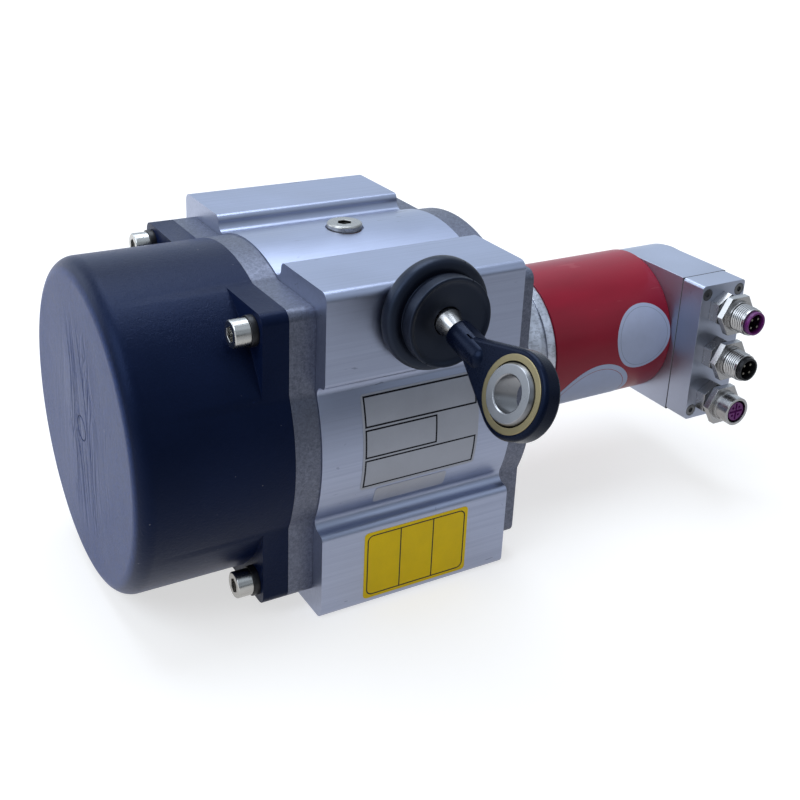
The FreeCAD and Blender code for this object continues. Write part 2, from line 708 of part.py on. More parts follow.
def make_drum():
    """Drum with its threaded nut at one end and a dished sliding end at the other."""
    seat = pitch_radius - wire_radius
    rim = pitch_radius + rim_height
    inner = seat - drum_wall
    body = turned("WireDrum", [
        (drum_start, nut_radius), (drum_start + drum_web, nut_radius), (drum_start + drum_web, inner),
        (drum_end, inner), (drum_end, rim), (drum_end - rim_width, rim), (drum_end - rim_width, seat),
        (drum_start + rim_width, seat), (drum_start + rim_width, rim), (drum_start, rim)])
    node(body, "wire_drum")
    fit = sleeve_outer + running_play
    lip = nut_radius + nut_lip
    body = turned("DrumNut", [
        (drum_start, fit), (nut_end, fit), (nut_end, lip), (drum_start + drum_web, lip),
        (drum_start + drum_web, nut_radius), (drum_start, nut_radius)])
    node(body, "drum_nut")
    cup_inner = cup_radius - cup_wall
    bore = shaft_radius + running_play
    disc = drum_end - drum_web
    body = turned("DrumEnd", [
        (disc, cup_inner), (cup_start, cup_inner), (cup_start, bore), (boss_end, bore),
        (boss_end, boss_radius), (cup_end, boss_radius), (cup_end, cup_radius), (drum_end, cup_radius),
        (drum_end, inner), (disc, inner)])
    slot = sketch(body, "YZ_Plane", boss_end)
    half_slot = key_width / 2 + running_play
    polygon(slot, [(-half_slot, 0), (half_slot, 0), (half_slot, key_top + running_play),
                   (-half_slot, key_top + running_play)])
    pocket(body, slot, boss_end - cup_start)
    node(body, "drum_end")
    winding = turned("WireWinding", ring_outline(
        drum_start + rim_width, drum_start + rim_width + wound_length, seat, pitch_radius + wire_radius))
    node(winding, "wire_winding")


key_top = shaft_radius + key_width / 2
key_start = cup_start - side_play
key_end = right_flange - side_play * 2
shaft_start = left_flange - cover_thickness - spring_width - side_play * 3
shaft_end = right_bearing + bearing_width + side_play * 3 + hub_length


def make_shaft():
    """Drum shaft with the feather key that the drum slides on."""
    body = turned("DrumShaft", [(shaft_start, 0), (shaft_end, 0), (shaft_end, shaft_radius),
                                (shaft_start, shaft_radius)])
    keyway = sketch(body, "XY_Plane", shaft_radius)
    half = key_width / 2
    polygon(keyway, [(key_start, -half), (key_end, -half), (key_end, half), (key_start, half)])
    pocket(body, keyway, key_width / 2)
    node(body, "drum_shaft")
    key = doc.addObject("Part::Box", "FeatherKey")
    bind(key, "Length", key_end - key_start)
    bind(key, "Width", key_width)
    bind(key, "Height", key_width)
    put(key, key_start, -half, axis_height + shaft_radius - half)
    node(key, "feather_key")


def bearing_ring(name, start, inner, outer):
    """One ring of a drum bearing, with the groove that its balls run in."""
    blank = turned(f"{name}Blank", ring_outline(start, start + bearing_width, inner, outer))
    groove = doc.addObject("Part::Torus", f"{name}Groove")
    bind(groove, "Radius1", (shaft_radius + bearing_radius) / 2)
    bind(groove, "Radius2", ball_radius + running_play)
    put(groove, start + bearing_width / 2, 0, axis_height, z_to_x)
    return cut(name, blank, groove)


def make_drum_bearings():
    """Two ball bearings, the first in the spring side flange, the second in the bell."""
    starts = (left_flange, right_bearing)
    ball_circle = (shaft_radius + bearing_radius) / 2
    land = ball_radius * 0.5
    inner_rings = doc.addObject("Part::Compound", "BearingInnerRings")
    outer_rings = doc.addObject("Part::Compound", "BearingOuterRings")
    inner_rings.Links = [bearing_ring(f"InnerRing{number}", start, shaft_radius, ball_circle - land)
                         for number, start in enumerate(starts, 1)]
    outer_rings.Links = [bearing_ring(f"OuterRing{number}", start, ball_circle + land, bearing_radius)
                         for number, start in enumerate(starts, 1)]
    node(outer_rings, "bearing_outer_rings")
    node(inner_rings, "bearing_inner_rings")
    one_ball = ball("BearingBall", ball_radius)
    spots = []
    for start in starts:
        for number in range(drum_bearing_balls):
            angle = math.radians(360 / drum_bearing_balls * number)
            spots.append((start + bearing_width / 2, ball_circle * math.sin(angle),
                          axis_height + ball_circle * math.cos(angle)))
    node(copies("BearingBalls", one_ball, spots, along_x), "bearing_balls")


def make_power_spring():
    """Spring arbor on the shaft, the wound spring and the plate that closes its chamber."""
    cover_face = left_flange - cover_thickness
    spring_end = cover_face - side_play
    spring_start = spring_end - spring_width
    node(turned("SpringArbor", ring_outline(spring_start, spring_end, shaft_radius, arbor_radius)),
         "spring_arbor")
    spring = body_at_axis("PowerSpring")
    strip = sketch(spring, "YZ_Plane", spring_start)
    reach = flange_radius - cap_wall - spring_play
    shift = (reach - strip_thickness - arbor_radius) / (spring_turns * 2)
    spiral(strip, arbor_radius, shift, spring_turns * 2, strip_thickness)
    pad(spring, strip, spring_width)
    node(spring, "power_spring")
    node(turned("SpringCover", ring_outline(cover_face, left_flange, bearing_shoulder,
                                            flange_radius - cap_wall - hole_play)), "spring_cover")
    collar = turned("ShaftCollar", ring_outline(left_face + hole_play, left_face + spigot_length,
                                                shaft_radius, shaft_radius + shoulder_height))
    node(collar, "shaft_collar")


def make_bell():
    """Coupling bell between drum housing and encoder, with the second bearing seat."""
    seat_end = right_bearing + bearing_width
    body = turned("CouplingBell", [
        (right_flange, bearing_radius), (seat_end, bearing_radius), (seat_end, bearing_shoulder),
        (seat_end + side_play, bearing_shoulder), (seat_end + side_play, bell_bore),
        (bell_end, bell_bore), (bell_end, bell_radius), (right_flange, bell_radius)])
    holes = sketch(body, "YZ_Plane", right_flange)
    circle(holes, bell_screw_circle / 2, 0, small_screw_radius + thread_play)
    pattern(body, [pocket(body, holes, bearing_width - side_play * 2, True)])
    node(body, "coupling_bell")
    sink = right_face - spigot_length + recess_depth + small_head_height
    length = right_flange + bearing_width - side_play * 3 - sink
    screw = socket_screw("BellScrew", small_screw_radius, length, small_head_radius, small_head_height,
                         small_screw_radius * 1.5)
    half = bell_screw_circle / 2
    spots = [(sink, half, axis_height), (sink, -half, axis_height),
             (sink, 0, axis_height + half), (sink, 0, axis_height - half)]
    node(copies("BellScrews", screw, spots, along_x), "bell_screws")


def make_coupling():
    """Shaft coupling: two hubs with an elastic disc between them."""
    first = right_bearing + bearing_width + side_play * 3
    disc_start = first + hub_length
    disc_end = disc_start + hub_length / 2
    node(turned("CouplingDrumHub", ring_outline(first, disc_start, shaft_radius, hub_radius)),
         "coupling_drum_hub")
    node(turned("CouplingDisc", ring_outline(disc_start, disc_end, encoder_shaft_radius, hub_radius + 2)),
         "coupling_disc")
    second_end = disc_end + hub_length
    node(turned("CouplingEncoderHub", ring_outline(disc_end, second_end, encoder_shaft_radius, hub_radius)),
         "coupling_encoder_hub")


encoder_bearing_start = bell_end + side_play


def make_encoder():
    """Encoder flange, tube, shaft, bearings, code disc, board and scanning head."""
    spigot_end = encoder_start + encoder_bearing_width + side_play * 2
    spigot = encoder_radius - encoder_wall
    bore = encoder_bearing_radius
    groove = bell_radius - groove_depth
    body = turned("EncoderFlange", [
        (bell_end, bore), (spigot_end, bore), (spigot_end, spigot), (encoder_start, spigot),
        (encoder_start, bell_radius), (bell_end + groove_width, bell_radius),
        (bell_end + groove_width, groove), (bell_end, groove)])
    node(body, "encoder_flange")
    body = turned("EncoderTube", ring_outline(encoder_start, encoder_end, spigot, encoder_radius))
    node(body, "encoder_tube")
    disc_seat = spigot_end + side_play * 7
    shaft_front = right_bearing + bearing_width + side_play * 3 + hub_length
    collar = encoder_shaft_radius + shoulder_height
    body = turned("EncoderShaft", [
        (shaft_front, 0), (disc_seat + side_play * 2, 0), (disc_seat + side_play * 2, encoder_shaft_radius),
        (disc_seat, encoder_shaft_radius), (disc_seat, collar), (disc_seat - side_play * 3, collar),
        (disc_seat - side_play * 3, encoder_shaft_radius), (shaft_front, encoder_shaft_radius)])
    node(body, "encoder_shaft")
    middle = (encoder_shaft_radius + encoder_bearing_radius) / 2
    starts = (encoder_bearing_start, spigot_end - encoder_bearing_width)
    for name, label, inner, outer in (
            ("EncoderOuterRing", "encoder_bearing_outer_rings", middle + running_play, encoder_bearing_radius),
            ("EncoderInnerRing", "encoder_bearing_inner_rings", encoder_shaft_radius, middle)):
        group = doc.addObject("Part::Compound", f"{name}s")
        group.Links = [turned(f"{name}{number}", ring_outline(start, start + encoder_bearing_width,
                                                              inner, outer))
                       for number, start in enumerate(starts, 1)]
        node(group, label)
    node(turned("CodeDisc", ring_outline(disc_seat, disc_seat + side_play * 1.5, encoder_shaft_radius,
                                         code_disc_radius)), "code_disc")
    board_start = disc_seat + side_play * 6
    board = turned("CircuitBoard", [(board_start, 0), (board_start + board_thickness, 0),
                                    (board_start + board_thickness, board_radius), (board_start, board_radius)])
    node(board, "circuit_board")
    pillar = cylinder("BoardPillar", small_screw_radius * 1.2, board_start - spigot_end)
    spots = []
    for angle in (90, 210, 330):
        reach = board_radius - small_screw_radius * 1.5
        spots.append((spigot_end, reach * math.cos(math.radians(angle)),
                      axis_height + reach * math.sin(math.radians(angle))))
    node(copies("BoardPillars", pillar, spots, z_to_x), "board_pillars")
    head = doc.addObject("Part::Box", "ScanningHead")
    head_length = board_start - disc_seat - side_play * 2.5
    bind(head, "Length", head_length)
    bind(head, "Width", code_disc_radius * 0.6)
    bind(head, "Height", code_disc_radius * 0.4)
    put(head, board_start - head_length, code_disc_radius * -0.3, axis_height - code_disc_radius)
    node(head, "scanning_head")


def hood_outline(body, start, half, reach, length):
    """Raise the hood's outline: a half round that runs out into a flat box."""
    box = sketch(body, "YZ_Plane", start)
    polygon(box, [(-reach, -half), (0, -half), (0, half), (-reach, half)])
    pad(body, box, length)
    back = sketch(body, "YZ_Plane", start)
    circle(back, 0, 0, half)
    pad(body, back, length)


def make_hood():
    """Machined hood that closes the encoder and carries the connector plate."""
    body = body_at_axis("EncoderHood")
    hood_outline(body, encoder_end, hood_half, hood_reach, hood_length)
    back = sketch(body, "YZ_Plane", encoder_end + hood_length)
    circle(back, 0, 0, hood_half - back_step)
    pad(body, back, hood_back)
    round_edges(body, back_chamfer, round_edge_at(encoder_end + hood_length + hood_back, hood_half - back_step),
                "Chamfer", "Size")
    spigot = sketch(body, "YZ_Plane", encoder_end - spigot_length)
    circle(spigot, 0, 0, encoder_radius - encoder_wall)
    pad(body, spigot, spigot_length)
    hollow = sketch(body, "YZ_Plane", encoder_end - spigot_length)
    circle(hollow, 0, 0, hood_half - hood_wall * 1.5)
    pocket(body, hollow, spigot_length + hood_length - hood_wall, True)
    window = sketch(body, "XZ_Plane", hood_reach)
    middle = encoder_end + hood_length / 2
    wide = hood_length / 2 - hood_wall * 1.4
    high = hood_half - hood_wall * 2.6
    polygon(window, [(middle - wide, -high), (middle + wide, -high), (middle + wide, high),
                     (middle - wide, high)])
    pocket(body, window, hood_reach)
    node(body, "encoder_hood")


def plate_block(name, near_face, thickness, holes):
    """A block with the outline of the connector plate and round holes through it."""
    body = body_at_axis(name)
    item = sketch(body, "XZ_Plane", near_face)
    polygon(item, [(encoder_end, -hood_half), (encoder_end + hood_length, -hood_half),
                   (encoder_end + hood_length, hood_half), (encoder_end, hood_half)])
    for across, up, radius in holes:
        circle(item, across, up, radius)
    pad(body, item, thickness)
    return body


connector_x = encoder_end + hood_length / 2
connector_heights = [connector_pitch - connector_shift, -connector_shift, -connector_pitch - connector_shift]
plate_face = hood_reach + plate_thickness


def make_connector_plate():
    """Connector plate on its gasket, with four countersunk screws."""
    ports = [(connector_x, height, connector_radius + thread_play) for height in connector_heights]
    half_x = hood_length / 2 - plate_screw_side
    half_z = hood_half - plate_screw_end
    corners = [(side_x, side_z) for side_x in (-half_x, half_x) for side_z in (-half_z, half_z)]
    fixings = [(connector_x + side_x, side_z, plate_screw_radius + thread_play) for side_x, side_z in corners]
    node(plate_block("HoodGasket", hood_reach, gasket_thickness, ports + fixings), "hood_gasket")
    near_face = hood_reach + gasket_thickness
    body = plate_block("ConnectorPlate", near_face, plate_thickness - gasket_thickness, ports + fixings)
    sinks = sketch(body, "XZ_Plane", plate_face)
    for side_x, side_z in corners:
        circle(sinks, connector_x + side_x, side_z, plate_head_radius + thread_play)
    pocket(body, sinks, plate_head_height)
    round_edges(body, plate_screw_radius, lambda edge: near(edge.BoundBox.YLength, plate_thickness
                - gasket_thickness) and near(abs(edge.BoundBox.Center.z), hood_half)
                and near(edge.BoundBox.XLength, 0), "Fillet")
    node(body, "connector_plate")
    screw = socket_screw("PlateScrew", plate_screw_radius, plate_thickness - plate_head_height,
                         plate_head_radius, plate_head_height, plate_screw_radius * 1.5)
    spots = [(connector_x + side_x, plate_head_height - plate_face, axis_height + side_z)
             for side_x, side_z in corners]
    node(copies("PlateScrews", screw, spots, Rotation(Vector(0, 0, 1), 90)), "connector_plate_screws")


def outlet_body(name, corners):
    """Turn an outline along X that is later set to point to -Y."""
    body = doc.addObject("PartDesign::Body", name)
    turn(body, corners)
    return body


def make_connectors():
    """Two male connectors and one female, each with base, nut, seal, insert and contacts."""
    core = connector_core + thread_play
    spigot = plate_thickness - side_play * 2
    names = (("ShellTop", "connector_shell_top", male_length - insert_lip, connector_radius),
             ("ShellMiddle", "connector_shell_middle", male_length - insert_lip, connector_radius),
             ("ShellBottom", "connector_shell_bottom", female_length, female_radius))
    nut_start = base_height + seal_height
    nut_stop = nut_start + nut_height
    for (name, label, length, front), height in zip(names, connector_heights):
        sleeve = outlet_body(f"{name}Sleeve", [
            (-spigot, core), (length, core), (length, front), (nut_stop + connector_collar, front),
            (nut_stop + connector_collar, connector_collar_radius), (nut_stop, connector_collar_radius),
            (nut_stop, connector_radius), (-spigot, connector_radius)])
        bar = hexagon(f"{name}Bar", base_flats, base_height)
        put(bar, rotation=z_to_x)
        bore = cylinder(f"{name}Bore", connector_radius, base_height)
        put(bore, rotation=z_to_x)
        base = cut(f"{name}Base", bar, bore)
        shell = doc.addObject("Part::Fuse", name)
        shell.Base = sleeve
        shell.Tool = base
        put(shell, connector_x, -plate_face, axis_height + height, x_to_outlet)
        node(shell, label)
    bar = hexagon("ConnectorNutBar", nut_flats, nut_height)
    bore = cylinder("ConnectorNutBore", connector_radius + thread_play, nut_height)
    nut = cut("ConnectorNut", bar, bore)
    spots = [(connector_x, -plate_face - nut_start, axis_height + height) for height in connector_heights]
    node(copies("ConnectorNuts", nut, spots, z_to_outlet), "connector_nuts")
    seal = outlet_body("ConnectorSeal", ring_outline(0, seal_height, connector_radius + thread_play,
                                                     seal_radius))
    spots = [(connector_x, -plate_face - base_height, axis_height + height) for height in connector_heights]
    node(copies("ConnectorSeals", seal, spots, x_to_outlet), "connector_seals")
    floor = male_length - cavity_depth
    for name, label, height in (("InsertTop", "connector_insert_top", connector_heights[0]),
                                ("InsertMiddle", "connector_insert_middle", connector_heights[1])):
        insert = outlet_body(name, [(-spigot, 0), (floor, 0), (floor, connector_cavity),
                                    (male_length, connector_cavity), (male_length, connector_core),
                                    (-spigot, connector_core)])
        put(insert, connector_x, -plate_face, axis_height + height, x_to_outlet)
        node(insert, label)
    face = female_length - female_step
    insert = outlet_body("InsertBottom", [(-spigot, 0), (face, 0), (face, connector_cavity),
                                          (female_length - cavity_depth, connector_cavity),
                                          (female_length - cavity_depth, connector_core),
                                          (-spigot, connector_core)])
    contacts = sketch(insert, "YZ_Plane", face)
    diagonal = pin_circle / math.sqrt(2)
    circle(contacts, diagonal, diagonal, pin_radius + thread_play * 3)
    pattern(insert, [pocket(insert, contacts, cavity_depth * 0.7)])
    groove = sketch(insert, "YZ_Plane", face)
    reach = connector_cavity - pin_radius
    polygon(groove, [(-pin_radius, -reach), (pin_radius, -reach), (pin_radius, reach), (-pin_radius, reach)])
    pocket(insert, groove, pin_radius * 2)
    groove = sketch(insert, "YZ_Plane", face)
    polygon(groove, [(-reach, -pin_radius), (reach, -pin_radius), (reach, pin_radius), (-reach, pin_radius)])
    pocket(insert, groove, pin_radius * 2)
    put(insert, connector_x, -plate_face, axis_height + connector_heights[2], x_to_outlet)
    node(insert, "connector_insert_bottom")
    pin = cylinder("ContactPin", pin_radius, cavity_depth - side_play)
    spots = []
    for height in connector_heights[:2]:
        for angle in (45, 135, 225, 315):
            spots.append((connector_x + pin_circle * math.cos(math.radians(angle)), -plate_face - floor,
                          axis_height + height + pin_circle * math.sin(math.radians(angle))))
    node(copies("ContactPins", pin, spots, z_to_outlet), "contact_pins")


def make_plug():
    """Plug screw in the top of the housing, on its sealing ring."""
    plug = socket_screw("PlugBlank", plug_radius, plug_seat - chamber_radius, plug_head_radius,
                        plug_head_height, plug_radius)
    seat = axis_height + plug_seat + plug_seal_height
    plug_link = copies("PlugScrew", plug, [(0, 0, seat)], Rotation(Vector(0, 1, 0), 90))
    node(plug_link, "plug_screw")
    seal = doc.addObject("PartDesign::Body", "PlugSeal")
    turn(seal, ring_outline(0, plug_seal_height, plug_radius + thread_play, plug_head_radius - hole_play))
    put(seal, 0, 0, axis_height + plug_seat, Rotation(Vector(0, 1, 0), -90))
    node(seal, "plug_seal")


def make_outlet():
    """Guide bush, wiper and rubber buffer where the wire leaves the housing."""
    height = axis_height + pitch_radius
    bush_start = half_side - outlet_depth + side_play
    guide = wire_radius + wire_play
    face = half_side
    nose = face + nose_length
    wiper_start = nose - nose_length * 0.6
    bush = outlet_body("OutletBush", [
        (bush_start, outlet_passage), (bush_start + outlet_passage, guide), (wiper_start, guide),
        (wiper_start, outlet_passage), (nose, outlet_passage), (nose, nose_radius), (face, nose_radius),
        (face, collar_radius - running_play), (face - collar_height, collar_radius - running_play),
        (face - collar_height, outlet_radius - running_play), (bush_start, outlet_radius - running_play)])
    put(bush, 0, 0, height, x_to_outlet)
    node(bush, "wire_outlet_bush")
    wiper = outlet_body("WireWiper", ring_outline(wiper_start, nose, guide, outlet_passage))
    put(wiper, 0, 0, height, x_to_outlet)
    node(wiper, "wire_wiper")
    rear = face + buffer_rear
    front = rear + buffer_front
    body = outlet_body("BufferBlank", [
        (face, nose_radius), (nose, nose_radius), (nose, guide * 3),
        (pivot_reach - ferrule_radius * 0.5, guide * 3),
        (pivot_reach - ferrule_radius * 0.2, ferrule_radius + seat_play * 3),
        (front - dish_depth * 1.6, ferrule_radius * 1.8),
        (front - dish_depth, buffer_front_radius - rim_lip * 1.5), (front, buffer_front_radius - rim_lip),
        (front, buffer_front_radius), (rear + rim_lip, buffer_front_radius),
        (rear, buffer_front_radius - rim_lip), (rear, buffer_radius),
        (face, buffer_radius)])
    round_edges(body, buffer_round, round_edge_at(rear, buffer_radius))
    round_edges(body, buffer_round * 0.8, round_edge_at(face, buffer_radius))
    round_edges(body, rim_lip * 0.6, round_edge_at(front, buffer_front_radius))
    seat = ball("BufferSeat", ferrule_radius + seat_play)
    put(seat, x=pivot_reach)
    buffer = cut("RubberBuffer", body, seat)
    put(buffer, 0, 0, height, x_to_outlet)
    node(buffer, "rubber_buffer")
    wire = cylinder("MeasuringWire", wire_radius, pivot_reach - ferrule_radius - hole_play - wire_start)
    put(wire, 0, -wire_start, height, z_to_outlet)
    node(wire, "measuring_wire")


def make_wire_end():
    """Ferrule and rod end with race and ball, drooping from the seat and swivelled."""
    droop = Rotation(Vector(1, 0, 0), droop_angle)
    swivel = Rotation(Vector(1, 0, 0), swivel_angle)
    pose = droop.multiply(x_to_outlet).multiply(swivel)
    pivot = (0, -pivot_reach, axis_height + pitch_radius)
    ferrule = doc.addObject("PartDesign::Body", "WireFerrule")
    stud_end = ferrule_length + (eye_reach - eye_radius) * 0.4
    turn(ferrule, [(-ferrule_radius, 0), (stud_end, 0), (stud_end, stud_radius), (ferrule_length, stud_radius),
                   (ferrule_length, ferrule_tip), (0, ferrule_radius), (-ferrule_radius, ferrule_radius)])
    round_edges(ferrule, ferrule_radius * 0.98, round_edge_at(-ferrule_radius, ferrule_radius))
    put(ferrule, *pivot, pose)
    node(ferrule, "wire_ferrule")

    plate = doc.addObject("PartDesign::Body", "RodEndPlate")
    half_width = eye_width / 2
    eye = sketch(plate, "XZ_Plane", -half_width)
    circle(eye, eye_reach, 0, eye_radius)
    pad(plate, eye, eye_width)
    web = sketch(plate, "XZ_Plane", -half_width)
    lean = math.acos((eye_radius.value - neck_radius.value) / (eye_reach.value - web_start.value))
    touch = eye_reach - eye_radius * math.cos(lean)
    wide = eye_radius * math.sin(lean)
    polygon(web, [(web_start, -neck_radius * 0.9), (touch, -wide), (eye_reach, -wide * 0.9),
                  (eye_reach, wide * 0.9), (touch, wide), (web_start, neck_radius * 0.9)])
    pad(plate, web, eye_width)
    round_edges(plate, eye_round, lambda edge: near(abs(edge.BoundBox.Center.y), half_width)
                and near(edge.BoundBox.YLength, 0) and abs(edge.BoundBox.Center.z) > 1)
    neck = doc.addObject("PartDesign::Body", "RodEndNeck")
    neck_start = ferrule_length + seat_play
    turn(neck, [(neck_start, 0), (nose_reach, 0), (nose_reach, neck_radius), (neck_start, neck_radius)])
    round_edges(neck, neck_radius * 0.95, round_edge_at(nose_reach, neck_radius))
    round_edges(neck, neck_radius * 0.2, round_edge_at(neck_start, neck_radius))
    whole = doc.addObject("Part::Fuse", "RodEndWhole")
    whole.Base = plate
    whole.Tool = neck
    race_hole = cylinder("RaceHole", race_radius, eye_width * 2)
    put(race_hole, eye_reach, eye_width, 0, Rotation(Vector(1, 0, 0), 90))
    stud_hole = cylinder("StudHole", stud_radius + running_play, stud_end + side_play)
    put(stud_hole, rotation=z_to_x)
    slit = doc.addObject("Part::Box", "NeckSlit")
    bind(slit, "Length", slit_length)
    bind(slit, "Width", slit_width)
    bind(slit, "Height", slit_depth * 2)
    lean_sine = math.sin(math.radians(slit_angle))
    lean_cosine = math.cos(math.radians(slit_angle))
    floor = neck_radius - slit_depth
    put(slit, slit_start, slit_width * (-lean_cosine / 2) - floor * lean_sine,
        floor * lean_cosine - slit_width * (lean_sine / 2), Rotation(Vector(1, 0, 0), slit_angle))
    drilled = cut("RodEndDrilled", whole, race_hole)
    hollow = cut("RodEndHollow", drilled, stud_hole)
    rod_end = cut("RodEnd", hollow, slit)
    put(rod_end, *pivot, pose)
    node(rod_end, "rod_end")

    z_to_eye = pose.multiply(Rotation(Vector(1, 0, 0), 90))
    eye_centre = Vector(*[float(value) for value in pivot]) + pose.multVec(Vector(float(eye_reach), 0, 0))
    race_blank = cylinder("RaceBlank", race_radius, race_width)
    put(race_blank, z=-race_width / 2)
    race = cut("RodEndRace", race_blank, ball("RaceHollow", joint_ball_radius + running_play))
    race.Placement = Placement(eye_centre, z_to_eye)
    node(race, "rod_end_race")
    width_bar = cylinder("JointBallWidthBar", joint_ball_radius, joint_ball_width)
    put(width_bar, z=-joint_ball_width / 2)
    trimmed = doc.addObject("Part::Common", "JointBallTrimmed")
    trimmed.Base = ball("JointBallWhole", joint_ball_radius)
    trimmed.Tool = width_bar
    bore = cylinder("JointBallBore", joint_bore, joint_ball_width)
    put(bore, z=-joint_ball_width / 2)
    joint_ball = cut("JointBallBored", trimmed, bore)
    for side in (1, -1):
        lead_in = doc.addObject("Part::Cone", "JointBallLeadIn")
        bind(lead_in, "Radius1", joint_bore)
        bind(lead_in, "Radius2", joint_bore + bore_chamfer)
        bind(lead_in, "Height", bore_chamfer)
        put(lead_in, z=(joint_ball_width / 2 - bore_chamfer) * side,
            rotation=Rotation(Vector(1, 0, 0), 90 - 90 * side))
        joint_ball = cut("RodEndBall", joint_ball, lead_in)
    joint_ball.Placement = Placement(eye_centre, z_to_eye)
    node(joint_ball, "rod_end_ball")


make_drum_housing()
make_flanges()
make_cap()
make_screws()
make_guide_sleeve()
make_drum()
make_shaft()
make_drum_bearings()
make_power_spring()
make_bell()
make_coupling()
make_encoder()
make_hood()
make_connector_plate()
make_connectors()
make_plug()
make_outlet()
make_wire_end()

doc.recompute()
for item in doc.Objects:
    if "Invalid" in item.State or "Error" in item.State:
        raise RuntimeError(f"{item.Label} did not build")
for item in nodes:
    if item.Shape.isNull() or not item.Shape.isValid():
        raise RuntimeError(f"{item.Label} has no valid shape")

os.makedirs("parts", exist_ok=True)
for item in nodes:
    item.Shape.exportStep(f"parts/{item.Label}.step")
print(len(nodes), "nodes")
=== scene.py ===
import json
import math

import bpy
from mathutils import Matrix, Vector


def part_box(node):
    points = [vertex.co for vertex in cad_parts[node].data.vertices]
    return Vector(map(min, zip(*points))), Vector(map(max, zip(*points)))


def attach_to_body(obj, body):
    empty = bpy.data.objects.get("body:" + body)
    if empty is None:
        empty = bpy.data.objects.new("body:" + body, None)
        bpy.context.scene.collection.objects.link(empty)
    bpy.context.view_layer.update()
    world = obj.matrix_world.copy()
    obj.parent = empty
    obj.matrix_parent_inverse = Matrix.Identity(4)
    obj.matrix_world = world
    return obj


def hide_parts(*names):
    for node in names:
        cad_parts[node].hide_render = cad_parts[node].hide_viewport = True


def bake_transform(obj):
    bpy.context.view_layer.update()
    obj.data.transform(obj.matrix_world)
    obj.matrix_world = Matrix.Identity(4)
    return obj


bl_info = {
    "name": "Draw wire encoder",
    "version": (1, 0, 0),
    "blender": (4, 5, 0),
    "location": "View3D > Sidebar > Encoder",
    "description": "Dresses a draw wire encoder with its finishes, labels, threads and a studio stage",
    "category": "Object",
}

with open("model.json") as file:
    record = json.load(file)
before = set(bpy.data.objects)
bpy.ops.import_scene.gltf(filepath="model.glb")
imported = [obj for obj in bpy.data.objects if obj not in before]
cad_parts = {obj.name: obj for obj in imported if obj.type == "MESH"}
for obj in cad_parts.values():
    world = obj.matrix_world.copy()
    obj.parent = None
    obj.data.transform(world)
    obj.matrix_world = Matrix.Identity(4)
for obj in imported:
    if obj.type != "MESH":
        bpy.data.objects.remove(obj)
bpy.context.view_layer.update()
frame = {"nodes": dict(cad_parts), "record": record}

# Places that the pieces share, in metres
AXIS_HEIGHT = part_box("drum_housing")[1].z / 2
WIRE_HEIGHT = sum(corner.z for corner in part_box("rubber_buffer")) / 2
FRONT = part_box("drum_housing")[0].y
RECESS_RADIUS = 0.064
TUBE_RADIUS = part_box("encoder_tube")[1].y
LABEL_SINK = 0.00005

MOUNTS = {mount["name"]: mount for mount in frame["record"]["mounts"]}
JOINTS = {joint["name"]: joint for joint in frame["record"]["behaviour"]["joints"]}
EYE_CENTRE = Vector(MOUNTS["eye_bore"]["pos_m"])
EYE_AXIS = Vector(MOUNTS["eye_bore"]["axis"])
PIVOT = Vector(JOINTS["rod_end_swivel"]["pos_m"])
NECK_AXIS = Vector(JOINTS["rod_end_swivel"]["axis"])
OUTLET = Vector((0, FRONT, WIRE_HEIGHT))
OUTWARD = Vector((0, -1, 0))

# The photograph's camera, solved from the housing's corners, in pixels, metres and radians
PICTURE_SIDE = 800
FOCAL_LENGTH = 1176.0
CENTRE_ROW = 320
CAMERA_PLACE = Vector((-0.20775, -0.388, 0.271))
YAW, PITCH, ROLL = (math.radians(angle) for angle in (31.21, 22.31, 2.51))

BODY_OF = {node: body for body, nodes in frame["record"]["behaviour"]["bodies"].items() for node in nodes}
SLOT_OF = {part["node"]: part["material_slot"] for part in frame["record"]["subparts"]}


def length(name, description, metres):
    """A length that the user can change."""
    return bpy.props.FloatProperty(name=name, description=description, default=metres, unit="LENGTH")


def colour(name, description, red, green, blue):
    """A colour that the user can change."""
    return bpy.props.FloatVectorProperty(
        name=name, description=description, subtype="COLOR", size=3, min=0, max=1, default=(red, green, blue))


class EncoderSizes(bpy.types.PropertyGroup):
    """Sizes of the pieces that dress the encoder."""

    edge_round: length("Edge rounding", "Small rounding of machined edges", 0.0003)
    label_thickness: length("Label thickness", "Thickness of the stuck labels", 0.00012)
    printed_line: length("Printed line", "Width of the nameplate's ruled lines", 0.00068)
    nameplate_width: length("Nameplate width", "Nameplate along the drum axis", 0.0496)
    strip_width: length("Strip width", "Small strip label under the nameplate", 0.0310)
    yellow_width: length("Yellow label width", "Yellow label on the lower block", 0.0456)
    yellow_height: length("Yellow label height", "Yellow label on the lower block", 0.0287)
    small_disc: length("Small disc label", "Radius of the upper round label", 0.0152)
    large_disc: length("Large disc label", "Radius of the lower round label", 0.0216)
    buffer_lip: length("Buffer lip", "Raised rim of the rubber buffer's front", 0.0014)
    thread_pitch: length("Thread pitch", "Pitch of the plug threads", 0.0010)
    thread_depth: length("Thread ridge", "Height of the plug thread's ridge", 0.00032)


